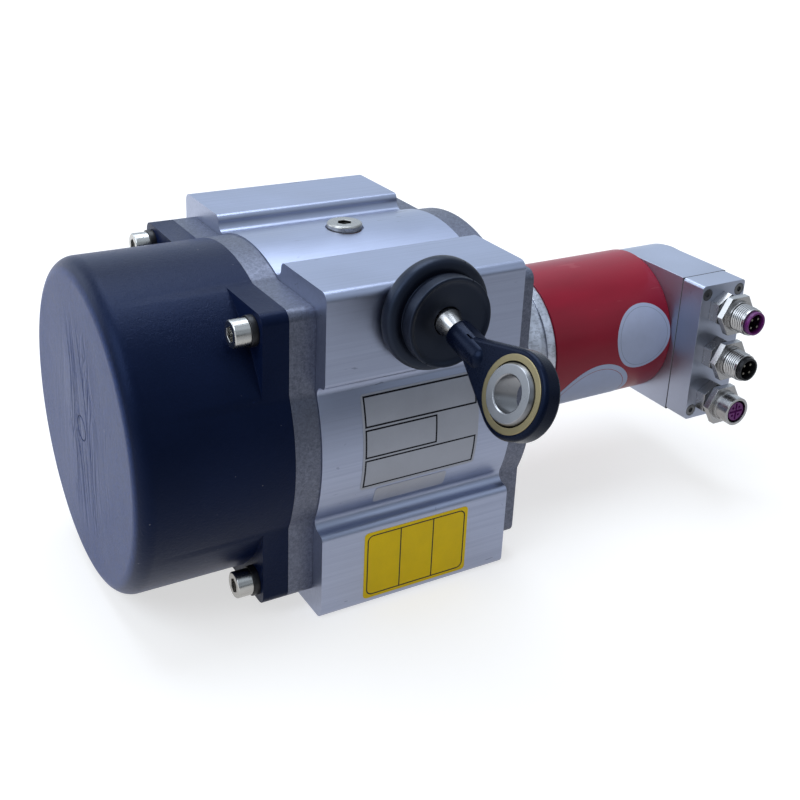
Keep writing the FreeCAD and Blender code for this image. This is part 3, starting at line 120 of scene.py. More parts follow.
class EncoderColours(bpy.types.PropertyGroup):
    """Main colours of the encoder's finishes."""

    extrusion: colour("Extrusion", "Anodised drum housing", 0.37, 0.405, 0.53)
    casting: colour("Casting", "Cast end flanges", 0.135, 0.145, 0.190)
    cap: colour("Cap", "Moulded spring cap", 0.0025, 0.0050, 0.018)
    tube: colour("Tube", "Encoder tube", 0.29, 0.004, 0.024)
    hood: colour("Hood", "Encoder hood and connector plate", 0.43, 0.46, 0.56)
    turned: colour("Turned parts", "Machined aluminium", 0.56, 0.58, 0.65)
    nickel: colour("Nickel", "Plated plugs and ferrule", 0.46, 0.45, 0.445)
    rubber: colour("Rubber", "Wire buffer", 0.0025, 0.003, 0.006)
    brass: colour("Brass", "Ring of the rod end", 0.26, 0.215, 0.12)
    purple: colour("Purple", "Contact carriers", 0.13, 0.012, 0.14)
    yellow: colour("Yellow", "Label on the lower block", 0.92, 0.64, 0.004)
    paper: colour("Label", "Bare round labels", 0.45, 0.51, 0.70)


class Nodes:
    """The nodes of a material or world, added one after the other."""

    def __init__(self, owner):
        owner.use_nodes = True
        self.nodes = owner.node_tree.nodes
        self.links = owner.node_tree.links

    def add(self, kind, result, inputs, **settings):
        node = self.nodes.new(kind)
        for key, value in settings.items():
            setattr(node, key, value)
        for key, value in inputs.items():
            self.feed(node.inputs[key], value)
        return node.outputs[result]

    def feed(self, socket, value):
        if isinstance(value, bpy.types.NodeSocket):
            self.links.new(value, socket)
        elif socket.type == "RGBA" and len(value) == 3:
            socket.default_value = (*value, 1)
        else:
            socket.default_value = value

    def calc(self, operation, first, second=0.0):
        return self.add("ShaderNodeMath", 0, {0: first, 1: second}, operation=operation)

    def times(self, first, second):
        return self.calc("MULTIPLY", first, second)

    def span(self, value, low, high, start, end):
        """Carry a value from one range to another."""
        return self.add("ShaderNodeMapRange", "Result", {
            "Value": value, "From Min": low, "From Max": high, "To Min": start, "To Max": end})

    def parts(self, vector):
        """The X, Y and Z of a vector."""
        node = self.nodes.new("ShaderNodeSeparateXYZ")
        self.links.new(vector, node.inputs[0])
        return node.outputs

    def towards(self, vector, direction):
        """How far a vector reaches in a direction."""
        return self.add("ShaderNodeVectorMath", "Value", {0: vector, 1: direction}, operation="DOT_PRODUCT")

    def distance(self, first, second):
        """Length of a step with these two parts at right angles."""
        squares = (self.calc("POWER", part, 2.0) for part in (first, second))
        return self.calc("SQRT", self.calc("ADD", *squares))

    def seen_white(self, mirrored):
        """1 where the camera looks or glass lets it look, and the given share in mirroring surfaces."""
        ray = self.nodes.new("ShaderNodeLightPath")
        glossy = self.times(ray.outputs["Is Glossy Ray"], mirrored)
        clear = self.calc("MAXIMUM", ray.outputs["Is Camera Ray"], ray.outputs["Is Transmission Ray"])
        return self.calc("MAXIMUM", clear, glossy)


class Recipe(Nodes):
    """A finish with its principled shader."""

    def __init__(self, name):
        self.material = bpy.data.materials.new(name)
        super().__init__(self.material)
        self.shader = self.nodes["Principled BSDF"]
        self.place = self.nodes.new("ShaderNodeTexCoord").outputs["Object"]

    def stretched(self, scale, move=(0, 0, 0)):
        return self.add("ShaderNodeMapping", 0, {"Vector": self.place, "Scale": scale, "Location": move})

    def noise(self, vector, scale, detail=4.0, roughness=0.55, distortion=0.0):
        return self.add("ShaderNodeTexNoise", "Fac", {
            "Vector": vector, "Scale": scale, "Detail": detail, "Roughness": roughness,
            "Distortion": distortion})

    def swing(self, noise, start, end):
        """Carry the usual range of a noise to two values."""
        return self.span(noise, 0.3, 0.7, start, end)

    def uneven(self, clouds, low, high, grain, fine):
        """Roughness between two values with the clouds, and a little up and down with the grain."""
        return self.calc("ADD", self.swing(clouds, low, high), self.swing(grain, -fine, fine))

    def blend(self, factor, first, second):
        return self.add("ShaderNodeMix", 2, {0: factor, 6: first, 7: second}, data_type="RGBA")

    def relief(self, height, strength, distance, below=None):
        inputs = {"Height": height, "Strength": strength, "Distance": distance}
        if below is not None:
            inputs["Normal"] = below
        return self.add("ShaderNodeBump", 0, inputs)

    def paint(self, **sockets):
        for name, value in sockets.items():
            self.feed(self.shader.inputs[name.replace("_", " ")], value)
        return self.material


def darker(rgb, factor):
    return tuple(channel * factor for channel in rgb)


def inside(recipe, value, low, high):
    """1 between two bounds and 0 outside."""
    return recipe.times(recipe.calc("GREATER_THAN", value, low), recipe.calc("LESS_THAN", value, high))


def within(recipe, across, up, box):
    """1 in a box of left, right, low and high, and 0 outside."""
    left, right, low, high = box
    return recipe.times(inside(recipe, across, left, right), inside(recipe, up, low, high))


def painted_recess_shade(recipe, tone, rgb, recess_shade):
    """Darken a tone with painted shade where the given mask, made from the recipe, X, Y and Z, is 1."""
    if recess_shade is None:
        return tone
    # Painted shade: the masked part takes the colour at 0.12 of its strength
    return recipe.blend(recess_shade(recipe, *recipe.parts(recipe.place)), tone, darker(rgb, 0.12))


def scratches(recipe, scale, sparse, move=(0, 0, 0)):
    """Sparse thin scratches, 0 on the clean surface and 1 in a scratch."""
    lines = recipe.noise(recipe.stretched(scale, move), 1.0, 3.0, 0.5, 0.6)
    return recipe.span(lines, sparse, sparse + 0.02, 0.0, 1.0)


def drawn_metal(name, rgb, roughness, along=(12, 900, 900)):
    """Drawn and anodised metal: fine lines one way, faint clouds, a few dark draw marks."""
    recipe = Recipe(name)
    lines = recipe.noise(recipe.stretched(along), 1.0, 5.0, 0.7)
    clouds = recipe.noise(recipe.place, 28.0, 3.0)
    marks = scratches(recipe, (70, 300, 620), 0.72)
    dents = scratches(recipe, (300, 300, 300), 0.74, (4, 2, 6))
    tone = recipe.blend(clouds, darker(rgb, 0.92), darker(rgb, 1.05))
    tone = recipe.blend(recipe.swing(lines, 0.0, 0.45), tone, darker(rgb, 0.74))
    tone = recipe.blend(recipe.times(marks, 0.65), tone, darker(rgb, 0.40))
    tone = recipe.blend(recipe.times(dents, 0.4), tone, darker(rgb, 0.45))
    rough = recipe.uneven(clouds, roughness - 0.04, roughness + 0.05, lines, 0.06)
    bump = recipe.relief(lines, 0.16, 0.00006)
    bump = recipe.relief(marks, 0.25, -0.00003, bump)
    return recipe.paint(Base_Color=tone, Metallic=1.0, Roughness=rough, Normal=bump)


def cast_metal(name, rgb, roughness):
    """Tumbled casting: small light and dark speckles, worn paler at places."""
    recipe = Recipe(name)
    specks = recipe.noise(recipe.place, 1500.0, 4.0, 0.7)
    patches = recipe.noise(recipe.place, 700.0, 3.0, 0.6)
    worn = recipe.noise(recipe.place, 60.0, 3.0, 0.6)
    mottle = recipe.calc("ADD", recipe.times(specks, 0.6), recipe.times(patches, 0.4))
    tone = recipe.blend(recipe.span(mottle, 0.38, 0.62, 0.0, 1.0), darker(rgb, 0.72), darker(rgb, 1.20))
    tone = recipe.blend(recipe.span(worn, 0.45, 0.75, 0.0, 0.30), tone, darker(rgb, 1.35))
    rough = recipe.span(mottle, 0.35, 0.65, roughness + 0.10, roughness - 0.08)
    bump = recipe.relief(mottle, 0.25, 0.00012)
    return recipe.paint(Base_Color=tone, Metallic=0.95, Roughness=rough, Normal=bump)


def turned_metal(name, rgb, roughness):
    """Lathe-turned metal: fine rings about the drum axis, rubbed clouds and scuffs."""
    recipe = Recipe(name)
    x, y, z = recipe.parts(recipe.place)
    radius = recipe.distance(y, recipe.calc("SUBTRACT", z, AXIS_HEIGHT))
    grooves = 5200.0
    rings = recipe.calc("SINE", recipe.times(recipe.calc("ADD", radius, x), grooves))
    clouds = recipe.noise(recipe.place, 60.0, 4.0)
    scuffs = recipe.noise(recipe.stretched((500, 900, 900)), 1.0, 4.0, 0.65, 0.3)
    rubbed = recipe.noise(recipe.stretched((110, 60, 60), (3, 0, 1)), 1.0, 4.0, 0.6)
    tone = recipe.blend(recipe.span(rubbed, 0.40, 0.66, 0.0, 1.0), darker(rgb, 0.82), darker(rgb, 1.35))
    tone = recipe.blend(recipe.span(scuffs, 0.48, 0.62, 0.0, 0.60), tone, darker(rgb, 0.50))
    rough = recipe.swing(clouds, roughness - 0.06, roughness + 0.08)
    bump = recipe.relief(recipe.calc("ADD", recipe.times(rings, 0.3), scuffs), 0.20, 0.00006)
    return recipe.paint(Base_Color=tone, Metallic=1.0, Roughness=rough, Normal=bump)


def blasted_metal(name, rgb, roughness):
    """Machined and lightly blasted metal: even fine grain with a few rubbed marks."""
    recipe = Recipe(name)
    grain = recipe.noise(recipe.place, 2400.0, 3.0, 0.6)
    clouds = recipe.noise(recipe.place, 35.0, 4.0)
    marks = scratches(recipe, (240, 180, 60), 0.72, (3, 1, 2))
    tone = recipe.blend(clouds, darker(rgb, 0.90), darker(rgb, 1.08))
    tone = recipe.blend(recipe.span(grain, 0.35, 0.75, 0.0, 0.25), tone, darker(rgb, 0.8))
    tone = recipe.blend(recipe.times(marks, 0.45), tone, darker(rgb, 0.55))
    rough = recipe.uneven(clouds, roughness - 0.05, roughness + 0.05, grain, 0.03)
    bump = recipe.relief(grain, 0.08, 0.00005)
    return recipe.paint(Base_Color=tone, Metallic=1.0, Roughness=rough, Normal=bump)


def plated_metal(name, rgb, roughness, scale=700.0, metallic=1.0, recess_shade=None):
    """Plated or ground metal: light in tone, with soft clouds and handling marks, and painted shade where a
    recess mask is given.
    """
    recipe = Recipe(name)
    fine = recipe.noise(recipe.place, scale, 4.0, 0.6)
    clouds = recipe.noise(recipe.place, 160.0, 3.0)
    marks = scratches(recipe, (500, 700, 300), 0.70, (1, 4, 2))
    tone = recipe.blend(clouds, darker(rgb, 0.88), darker(rgb, 1.10))
    tone = recipe.blend(recipe.times(marks, 0.3), tone, darker(rgb, 0.5))
    tone = painted_recess_shade(recipe, tone, rgb, recess_shade)
    rough = recipe.uneven(clouds, roughness - 0.03, roughness + 0.03, fine, 0.02)
    bump = recipe.relief(fine, 0.02, 0.00001)
    return recipe.paint(Base_Color=tone, Metallic=metallic, Roughness=rough, Normal=bump)


def cap_finish(name, rgb):
    """Satin moulded cap: fine grain, flow marks beside the gate, a painted bluish sheen on its end streaked
    by the worm noise, a few specks.
    """
    recipe = Recipe(name)
    x, y, z = recipe.parts(recipe.place)
    radius = recipe.distance(y, recipe.calc("SUBTRACT", z, AXIS_HEIGHT))
    flow = recipe.noise(recipe.stretched((1, 85, 16)), 1.0, 4.0, 0.55, 0.9)
    creases = recipe.span(recipe.calc("ABSOLUTE", recipe.calc("SUBTRACT", flow, 0.5)), 0.0, 0.07, 0.0, 1.0)
    beside = recipe.calc("ABSOLUTE", y)
    near_gate = recipe.times(recipe.span(beside, 0.008, 0.020, 1.0, 0.12),
                             recipe.span(radius, 0.020, 0.046, 1.0, 0.0))
    grain = recipe.noise(recipe.place, 1800.0, 3.0, 0.6)
    clouds = recipe.noise(recipe.place, 26.0, 4.0, 0.6)
    marks = scratches(recipe, (60, 320, 90), 0.72, (2, 0, 5))
    specks = recipe.span(recipe.noise(recipe.place, 420.0, 1.0), 0.80, 0.82, 0.0, 1.0)
    tone = recipe.blend(recipe.swing(clouds, 0.0, 1.0), rgb, darker(rgb, 1.5))
    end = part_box("spring_cap")[0].x
    worms = recipe.noise(recipe.place, 520.0, 3.0, 0.65, 2.0)
    # Painted sheen: a bluish reflection painted on the end face, fading out within 1.1 mm of the end,
    # streaked by the worm noise that also marks flow lines in the bump
    painted_end_sheen = recipe.times(recipe.span(x, end + 0.0002, end + 0.0011, 1.0, 0.0),
                         recipe.span(worms, 0.40, 0.58, 0.45, 1.0))
    tone = recipe.blend(painted_end_sheen, tone, (0.009, 0.030, 0.125))
    tone = recipe.blend(recipe.times(marks, 0.25), tone, darker(rgb, 5.0))
    tone = recipe.blend(recipe.times(specks, 0.5), tone, (0.25, 0.25, 0.28))
    rough = recipe.uneven(clouds, 0.33, 0.39, grain, 0.03)
    bump = recipe.relief(grain, 0.10, 0.00006)
    bump = recipe.relief(clouds, 0.10, 0.0012, bump)
    bump = recipe.relief(worms, 0.30, 0.0004, bump)
    bump = recipe.relief(recipe.times(creases, near_gate), 0.60, 0.0010, bump)
    return recipe.paint(Base_Color=tone, Roughness=rough, Specular_IOR_Level=0.19,
                        Specular_Tint=(0.30, 0.45, 1.0, 1.0), Sheen_Weight=0.14, Sheen_Roughness=0.35,
                        Sheen_Tint=(0.06, 0.20, 1.0, 1.0), Normal=bump)


def moulded(name, rgb, roughness, grain_scale=1500.0, bump_depth=0.00006, worn=2.2, specular=0.4,
            tint=(1.0, 1.0, 1.0, 1.0), recess_shade=None):
    """Moulded plastic or rubber: fine grain, light rubbing, and painted shade where a recess mask is given.
    """
    recipe = Recipe(name)
    grain = recipe.noise(recipe.place, grain_scale, 3.0, 0.6)
    clouds = recipe.noise(recipe.place, 90.0, 5.0, 0.65)
    tone = recipe.blend(recipe.span(clouds, 0.35, 0.75, 0.0, 1.0), rgb, darker(rgb, worn))
    tone = painted_recess_shade(recipe, tone, rgb, recess_shade)
    rough = recipe.uneven(clouds, roughness - 0.06, roughness + 0.07, grain, 0.04)
    bump = recipe.relief(grain, 0.15, bump_depth)
    return recipe.paint(Base_Color=tone, Roughness=rough, Specular_IOR_Level=specular, Specular_Tint=tint,
                        Normal=bump)


def painted_tube(name, rgb):
    """Deep red satin lacquer with fine orange peel and faint rubbed streaks."""
    recipe = Recipe(name)
    peel = recipe.noise(recipe.place, 1300.0, 2.0, 0.5)
    clouds = recipe.noise(recipe.stretched((20, 60, 60)), 1.0, 4.0)
    rubs = scratches(recipe, (50, 200, 300), 0.71, (4, 4, 1))
    tone = recipe.blend(recipe.swing(clouds, 0.0, 1.0), darker(rgb, 0.88), darker(rgb, 1.12))
    tone = recipe.blend(recipe.times(rubs, 0.18), tone, (0.5, 0.12, 0.14))
    rough = recipe.swing(clouds, 0.31, 0.38)
    bump = recipe.relief(peel, 0.08, 0.00004)
    return recipe.paint(Base_Color=tone, Roughness=rough, Specular_IOR_Level=0.29, Normal=bump)


def frames(recipe, across, up, boxes, line):
    """Ruled boxes: 1 on the lines round each box."""
    total = None
    for left, right, low, high in boxes:
        outer = within(recipe, across, up, (left, right, low, high))
        inner = within(recipe, across, up, (left + line, right - line, low + line, high - line))
        ring = recipe.calc("SUBTRACT", outer, inner)
        total = ring if total is None else recipe.calc("MAXIMUM", total, ring)
    return total


def rounded_panels(recipe, across, up, box, corner, line, dividers):
    """One ruled frame with round corners, split into panels by upright lines."""
    left, right, low, high = box
    reach = []
    for value, start, end in ((across, left, right), (up, low, high)):
        apart = recipe.calc("ABSOLUTE", recipe.calc("SUBTRACT", value, (start + end) / 2))
        reach.append(recipe.calc("MAXIMUM", recipe.calc("SUBTRACT", apart, (end - start) / 2 - corner), 0.0))
    total = inside(recipe, recipe.distance(*reach), corner - line, corner)
    for place in dividers:
        bar = within(recipe, across, up, (place - line / 2, place + line / 2, low, high))
        total = recipe.calc("MAXIMUM", total, bar)
    return total


def wrapped_ring(recipe, x, y, z, centre, radius, line):
    """1 on one thin ring round a centre, an X and an angle, on the encoder tube."""
    up = recipe.calc("SUBTRACT", z, AXIS_HEIGHT)
    arc = recipe.times(recipe.calc("ARCTAN2", up, recipe.times(y, -1.0)), TUBE_RADIUS)
    reach = recipe.distance(recipe.calc("SUBTRACT", x, centre[0]),
                            recipe.calc("SUBTRACT", arc, centre[1] * TUBE_RADIUS))
    return inside(recipe, reach, radius, radius + line)


def label_finish(name, paper, ink, ruling, roughness, metallic=0.0, cloud_scale=60.0, fibres=0.2):
    """Printed label with bare fields; ruling makes the printed lines from the recipe, X, Y and Z."""
    recipe = Recipe(name)
    clouds = recipe.noise(recipe.place, cloud_scale, 5.0, 0.6)
    fibre = recipe.noise(recipe.place, 1900.0, 3.0, 0.6)
    tone = recipe.blend(recipe.swing(clouds, 0.0, 1.0), darker(paper, 0.92), darker(paper, 1.05))
    tone = recipe.blend(recipe.span(fibre, 0.5, 0.8, 0.0, fibres), tone, darker(paper, 0.8))
    if ruling is not None:
        tone = recipe.blend(ruling(recipe, *recipe.parts(recipe.place)), tone, ink)
    rough = recipe.swing(clouds, *roughness)
    bump = recipe.relief(fibre, 0.06, 0.00003)
    return recipe.paint(Base_Color=tone, Metallic=metallic, Roughness=rough, Specular_IOR_Level=0.25,
                        Normal=bump)


def make_finishes(colours):
    """Every finish by the name of its material slot."""
    black = (0.006, 0.0065, 0.008)
    carrier_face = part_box("connector_insert_top")[0].y + 0.0006
    lowest_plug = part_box("connector_insert_bottom")[1].z
    shade_fade = 0.002

    def pin_cavity_shade(recipe, x, y, z):
        """Painted shade behind the face of the pinned plugs, deeper in their cavities, and not in the plug
        with holes under them.
        """
        behind = recipe.span(y, carrier_face, carrier_face + shade_fade, 0.0, 1.0)
        return recipe.times(behind, recipe.calc("GREATER_THAN", z, lowest_plug))

    return {
        "extruded_aluminium": drawn_metal("Extruded aluminium", tuple(colours.extrusion), 0.36),
        "cast_aluminium": cast_metal("Cast aluminium", tuple(colours.casting), 0.44),
        "cap_plastic": cap_finish("Moulded cap", tuple(colours.cap)),
        "screw_steel": plated_metal("Screw steel", (0.48, 0.47, 0.45), 0.26),
        "sleeve_black": plated_metal("Blackened steel", (0.012, 0.012, 0.015), 0.38, metallic=0.3),
        "machined_aluminium": turned_metal("Turned aluminium", tuple(colours.turned), 0.36),
        "red_tube": painted_tube("Red lacquer", tuple(colours.tube)),
        "hood_aluminium": blasted_metal("Blasted aluminium", tuple(colours.hood), 0.40),
        "gasket_rubber": moulded("Gasket rubber", (0.045, 0.047, 0.053), 0.65, worn=1.5),
        "nickel": plated_metal("Nickel plating", tuple(colours.nickel), 0.26),
        # The purple carriers get painted shade in their pin cavities
        "insert_purple": moulded("Purple carrier", tuple(colours.purple), 0.42, worn=1.4, recess_shade=pin_cavity_shade),
        "insert_black": moulded("Black carrier", black, 0.42, worn=1.6),
        "contact_gold": plated_metal("Gold contacts", (0.22, 0.205, 0.17), 0.30),
        "buffer_rubber": moulded("Buffer rubber", tuple(colours.rubber), 0.42, 1100.0, worn=1.9,
                                 specular=0.42, tint=(0.50, 0.65, 1.0, 1.0)),
        "brass_race": plated_metal("Brass ring", tuple(colours.brass), 0.34, 1500.0),
        "rod_end_plastic": moulded("Rod end plastic", (0.0015, 0.003, 0.010), 0.28, 1400.0, 0.00004,
                                   worn=1.6, specular=0.17, tint=(0.40, 0.55, 1.0, 1.0)),
        "ball_steel": plated_metal("Ground steel", (0.28, 0.28, 0.29), 0.30, 900.0),
        "wire_steel": drawn_metal("Wire steel", (0.36, 0.36, 0.36), 0.32, (900, 900, 60)),
        "bronze": turned_metal("Bronze", (0.38, 0.23, 0.11), 0.36),
        "steel": turned_metal("Machined steel", (0.33, 0.33, 0.34), 0.33),
        "felt": moulded("Pressed felt", (0.52, 0.49, 0.43), 0.90, 2600.0, 0.0003, worn=1.1),
        "copper": plated_metal("Copper ring", (0.48, 0.23, 0.14), 0.35),
        "spring_steel": drawn_metal("Blued spring steel", (0.13, 0.15, 0.22), 0.32, (900, 60, 60)),
        "glass": moulded("Coded glass", (0.40, 0.50, 0.51), 0.10, 3000.0, 0.00001, worn=1.1, specular=0.5),
        "board": moulded("Board lacquer", (0.02, 0.13, 0.05), 0.35, 900.0, 0.00003, worn=1.5, specular=0.5),
        "elastomer": moulded("Coupling elastomer", (0.38, 0.06, 0.025), 0.50, 900.0, 0.00008, worn=1.3),
    }


finishes = {}


def deselect():
    """Go to object mode with nothing selected."""
    if bpy.context.object and bpy.context.object.mode != "OBJECT":
        bpy.ops.object.mode_set(mode="OBJECT")
    bpy.ops.object.select_all(action="DESELECT")


def pick(piece):
    """Make one piece the only selected and active one."""
    deselect()
    piece.select_set(True)
    bpy.context.view_layer.objects.active = piece


def edit(piece):
    """Open a piece for editing, with all of it selected."""
    pick(piece)
    bpy.ops.object.mode_set(mode="EDIT")
    bpy.ops.mesh.select_all(action="SELECT")


def settle(piece):
    """Put the piece's place into its mesh, with the object at the origin."""
    pick(piece)
    bpy.ops.object.transform_apply(location=True, rotation=True, scale=True)


def modify(piece, kind, **settings):
    """Add a modifier to a piece and apply it."""
    pick(piece)
    modifier = piece.modifiers.new("Shape", kind)
    for key, value in settings.items():
        setattr(modifier, key, value)
    bpy.ops.object.modifier_apply(modifier=modifier.name)


def smooth(piece, angle):
    pick(piece)
    bpy.ops.object.shade_smooth_by_angle(angle=math.radians(angle))


def attach(piece, body, finish):
    """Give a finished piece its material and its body."""
    piece.data.materials.clear()
    piece.data.materials.append(finish)
    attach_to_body(piece, body)


def outward(piece):
    """Point all faces outwards."""
    edit(piece)
    bpy.ops.mesh.normals_make_consistent(inside=False)
    bpy.ops.object.mode_set(mode="OBJECT")


def boolean(piece, tool, operation):
    """Cut, join or intersect a piece with a tool, which is then removed."""
    modify(piece, "BOOLEAN", operation=operation, solver="EXACT", object=tool)
    bpy.data.objects.remove(tool, do_unlink=True)


def stand_in(piece, node, angle=30):
    """Let a finished piece take the place of a CAD node, shaded so that its flat faces stay flat."""
    smooth(piece, angle)
    modify(piece, "WEIGHTED_NORMAL", keep_sharp=True, weight=60)
    attach(piece, BODY_OF[node], finishes[SLOT_OF[node]])
    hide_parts(node)


def dress(node, edge):
    """Replace a CAD node by a copy with its loose triangles merged and its edges rounded a little."""
    piece = bpy.data.objects.new(f"{node}_rounded", frame["nodes"][node].data.copy())
    bpy.context.scene.collection.objects.link(piece)
    edit(piece)
    bpy.ops.mesh.remove_doubles(threshold=0.000002)
    bpy.ops.mesh.dissolve_limited(angle_limit=math.radians(0.2))
    bpy.ops.object.mode_set(mode="OBJECT")
    if edge:
        modify(piece, "BEVEL", limit_method="ANGLE", angle_limit=math.radians(32), width=edge, segments=2,
               use_clamp_overlap=True, miter_outer="MITER_ARC")
    stand_in(piece, node, 35)
    return piece


def softened(corners):
    """Round the corners of an outline of axial place, radius and rounding."""
    steps = 5
    outline = []
    count = len(corners)
    for index, (axial, radial, rounding) in enumerate(corners):
        here = Vector((axial, radial))
        if not rounding:
            outline.append(here)
            continue
        ends = []
        for other in (corners[index - 1], corners[(index + 1) % count]):
            away = Vector(other[:2]) - here
            ends.append(here + away.normalized() * min(rounding, away.length * 0.49))
        for step in range(steps + 1):
            part = step / steps
            first = ends[0].lerp(here, part)
            outline.append(first.lerp(here.lerp(ends[1], part), part))
    return outline


def lathe(name, corners, origin, axis, steps=96):
    """Spin an outline, in metres, round an axis that starts at the origin given."""
    outline = softened(corners)
    side = axis.orthogonal().normalized()
    deselect()
    bpy.ops.mesh.primitive_circle_add(vertices=len(outline), radius=0.01)
    piece = bpy.context.object
    piece.name = name
    for vertex, point in zip(piece.data.vertices, outline):
        vertex.co = origin + axis * point.x + side * point.y
    edit(piece)
    bpy.ops.mesh.spin(steps=steps, angle=math.tau, center=origin, axis=axis)
    bpy.ops.mesh.select_all(action="SELECT")
    bpy.ops.mesh.remove_doubles(threshold=0.000005)
    bpy.ops.mesh.normals_make_consistent(inside=False)
    bpy.ops.object.mode_set(mode="OBJECT")
    return piece


def turned_box(size, place, across, along):
    """A box tool whose X lies across and whose Y lies along the directions given."""
    deselect()
    bpy.ops.mesh.primitive_cube_add(size=1)
    tool = bpy.context.object
    tool.scale = size
    settle(tool)
    third = across.cross(along).normalized()
    turn = Matrix((across.normalized(), along.normalized(), third)).transposed().to_4x4()
    tool.matrix_world = Matrix.Translation(place) @ turn
    settle(tool)
    return tool


class EncoderOperator:
    """What every step shares"""

    bl_options = {"REGISTER", "UNDO"}


class ENCODER_OT_finishes(EncoderOperator, bpy.types.Operator):
    """Give every node of the frame its finish"""

    bl_idname = "encoder.finishes"
    bl_label = "Finishes"

    def execute(self, context):
        finishes.update(make_finishes(context.scene.encoder_colours))
        for node, piece in frame["nodes"].items():
            finish = finishes[SLOT_OF[node]]
            if not piece.material_slots:
                piece.data.materials.append(finish)
            for slot in piece.material_slots:
                slot.material = finish
        return {"FINISHED"}


class ENCODER_OT_castings(EncoderOperator, bpy.types.Operator):
    """Housing, flanges and cap with softened edges"""

    bl_idname = "encoder.castings"
    bl_label = "Housing, flanges and cap"

    def execute(self, context):
        edge = context.scene.encoder_sizes.edge_round
        dress("drum_housing", edge * 1.5)
        for node in ("spring_side_flange", "encoder_side_flange"):
            dress(node, edge * 1.6)
        dress("spring_cap", edge * 2)
        return {"FINISHED"}


class ENCODER_OT_small_parts(EncoderOperator, bpy.types.Operator):
    """Screws, plugs, hood, plate and turned parts with softened edges"""

    bl_idname = "encoder.small_parts"
    bl_label = "Screws, hood and turned parts"

    def execute(self, context):
        edge = context.scene.encoder_sizes.edge_round
        for node in ("cap_screws", "cap_screw_sleeves", "flange_screws", "plug_screw", "connector_nuts",
                     "connector_shell_top", "connector_shell_middle", "connector_shell_bottom",
                     "connector_insert_top", "connector_insert_middle", "connector_insert_bottom"):
            dress(node, edge * 0.6)
        # The plate's screws get a dark steel: painted shade standing in for the shadow in their countersinks
        sunk = dress("connector_plate_screws", edge * 0.6)
        sunk.data.materials[0] = plated_metal("Screw steel darkened as painted countersink shade", (0.16, 0.16, 0.165), 0.30)
        low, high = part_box("plug_screw")
        middle = (low + high) / 2

        def socket(recipe, x, y, z):
            """Painted shade in the key socket: under the head's face and within the reach of the key."""
            reach, depth = 0.0035, 0.0004
            across = within(recipe, x, y, (
                middle.x - reach, middle.x + reach, middle.y - reach, middle.y + reach))
            return recipe.times(recipe.calc("LESS_THAN", z, high.z - depth), across)

        # Painted shade inside the plug screw's key socket
        bpy.data.objects["plug_screw_rounded"].data.materials[0] = plated_metal(
            "Plug screw steel with painted socket shade", (0.40, 0.39, 0.37), 0.28, recess_shade=socket)
        for node in ("encoder_hood", "connector_plate"):
            dress(node, edge * 0.5)
        for node in ("encoder_flange", "coupling_bell", "encoder_tube"):
            dress(node, edge)
        return {"FINISHED"}


class ENCODER_OT_buffer(EncoderOperator, bpy.types.Operator):
    """Rubber buffer with its raised thin rim and the nicks of the mould"""

    bl_idname = "encoder.buffer"
    bl_label = "Rubber buffer"

    def execute(self, context):
        sizes = context.scene.encoder_sizes
        low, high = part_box("rubber_buffer")
        rear = (high.x - low.x) / 2
        front = rear * 0.790
        thick = high.y - low.y
        step = thick * 0.536
        lip = sizes.buffer_lip
        seat = thick - 0.0025
        ball_seat = 0.00525
        inner = 0.0016
        seat_start = math.sqrt(ball_seat ** 2 - inner ** 2)
        corners = [
            (0, 0.006, 0), (0.005, 0.006, 0), (0.005, inner, 0), (seat - seat_start, inner, 0),
            (seat - 0.0045, 0.0027, 0.0006), (seat - 0.0030, 0.0043, 0.0008), (seat - 0.0012, 0.0052, 0.0004),
            (seat + 0.0003, 0.0053, 0.0003), (thick - 0.0014, 0.0092, 0.0016),
            (thick - 0.0009, front - lip * 1.5, 0.0010), (thick, front - lip * 0.8, 0.0005),
            (thick, front, 0.0007), (step + lip, front, 0.0010), (step - 0.0006, front - lip, 0.0012),
            (step, rear - 0.0030, 0.0020), (step - 0.0012, rear, 0.0034), (0.0012, rear, 0.0024),
            (0, rear - 0.0030, 0.0012)]
        piece = lathe("rubber_buffer_turned", corners, OUTLET, OUTWARD, 128)
        nick = (0.0022, 0.0034, 0.00035)
        for angle, reach, depth in (
                (62, rear, step), (242, rear, step), (60, front, thick), (236, front, thick)):
            out = Vector((math.cos(math.radians(angle)), 0, math.sin(math.radians(angle))))
            place = OUTLET + out * (reach + 0.0004) + OUTWARD * (depth - 0.0012)
            boolean(piece, turned_box(nick, place, out, OUTWARD), "DIFFERENCE")
        stand_in(piece, "rubber_buffer")
        return {"FINISHED"}


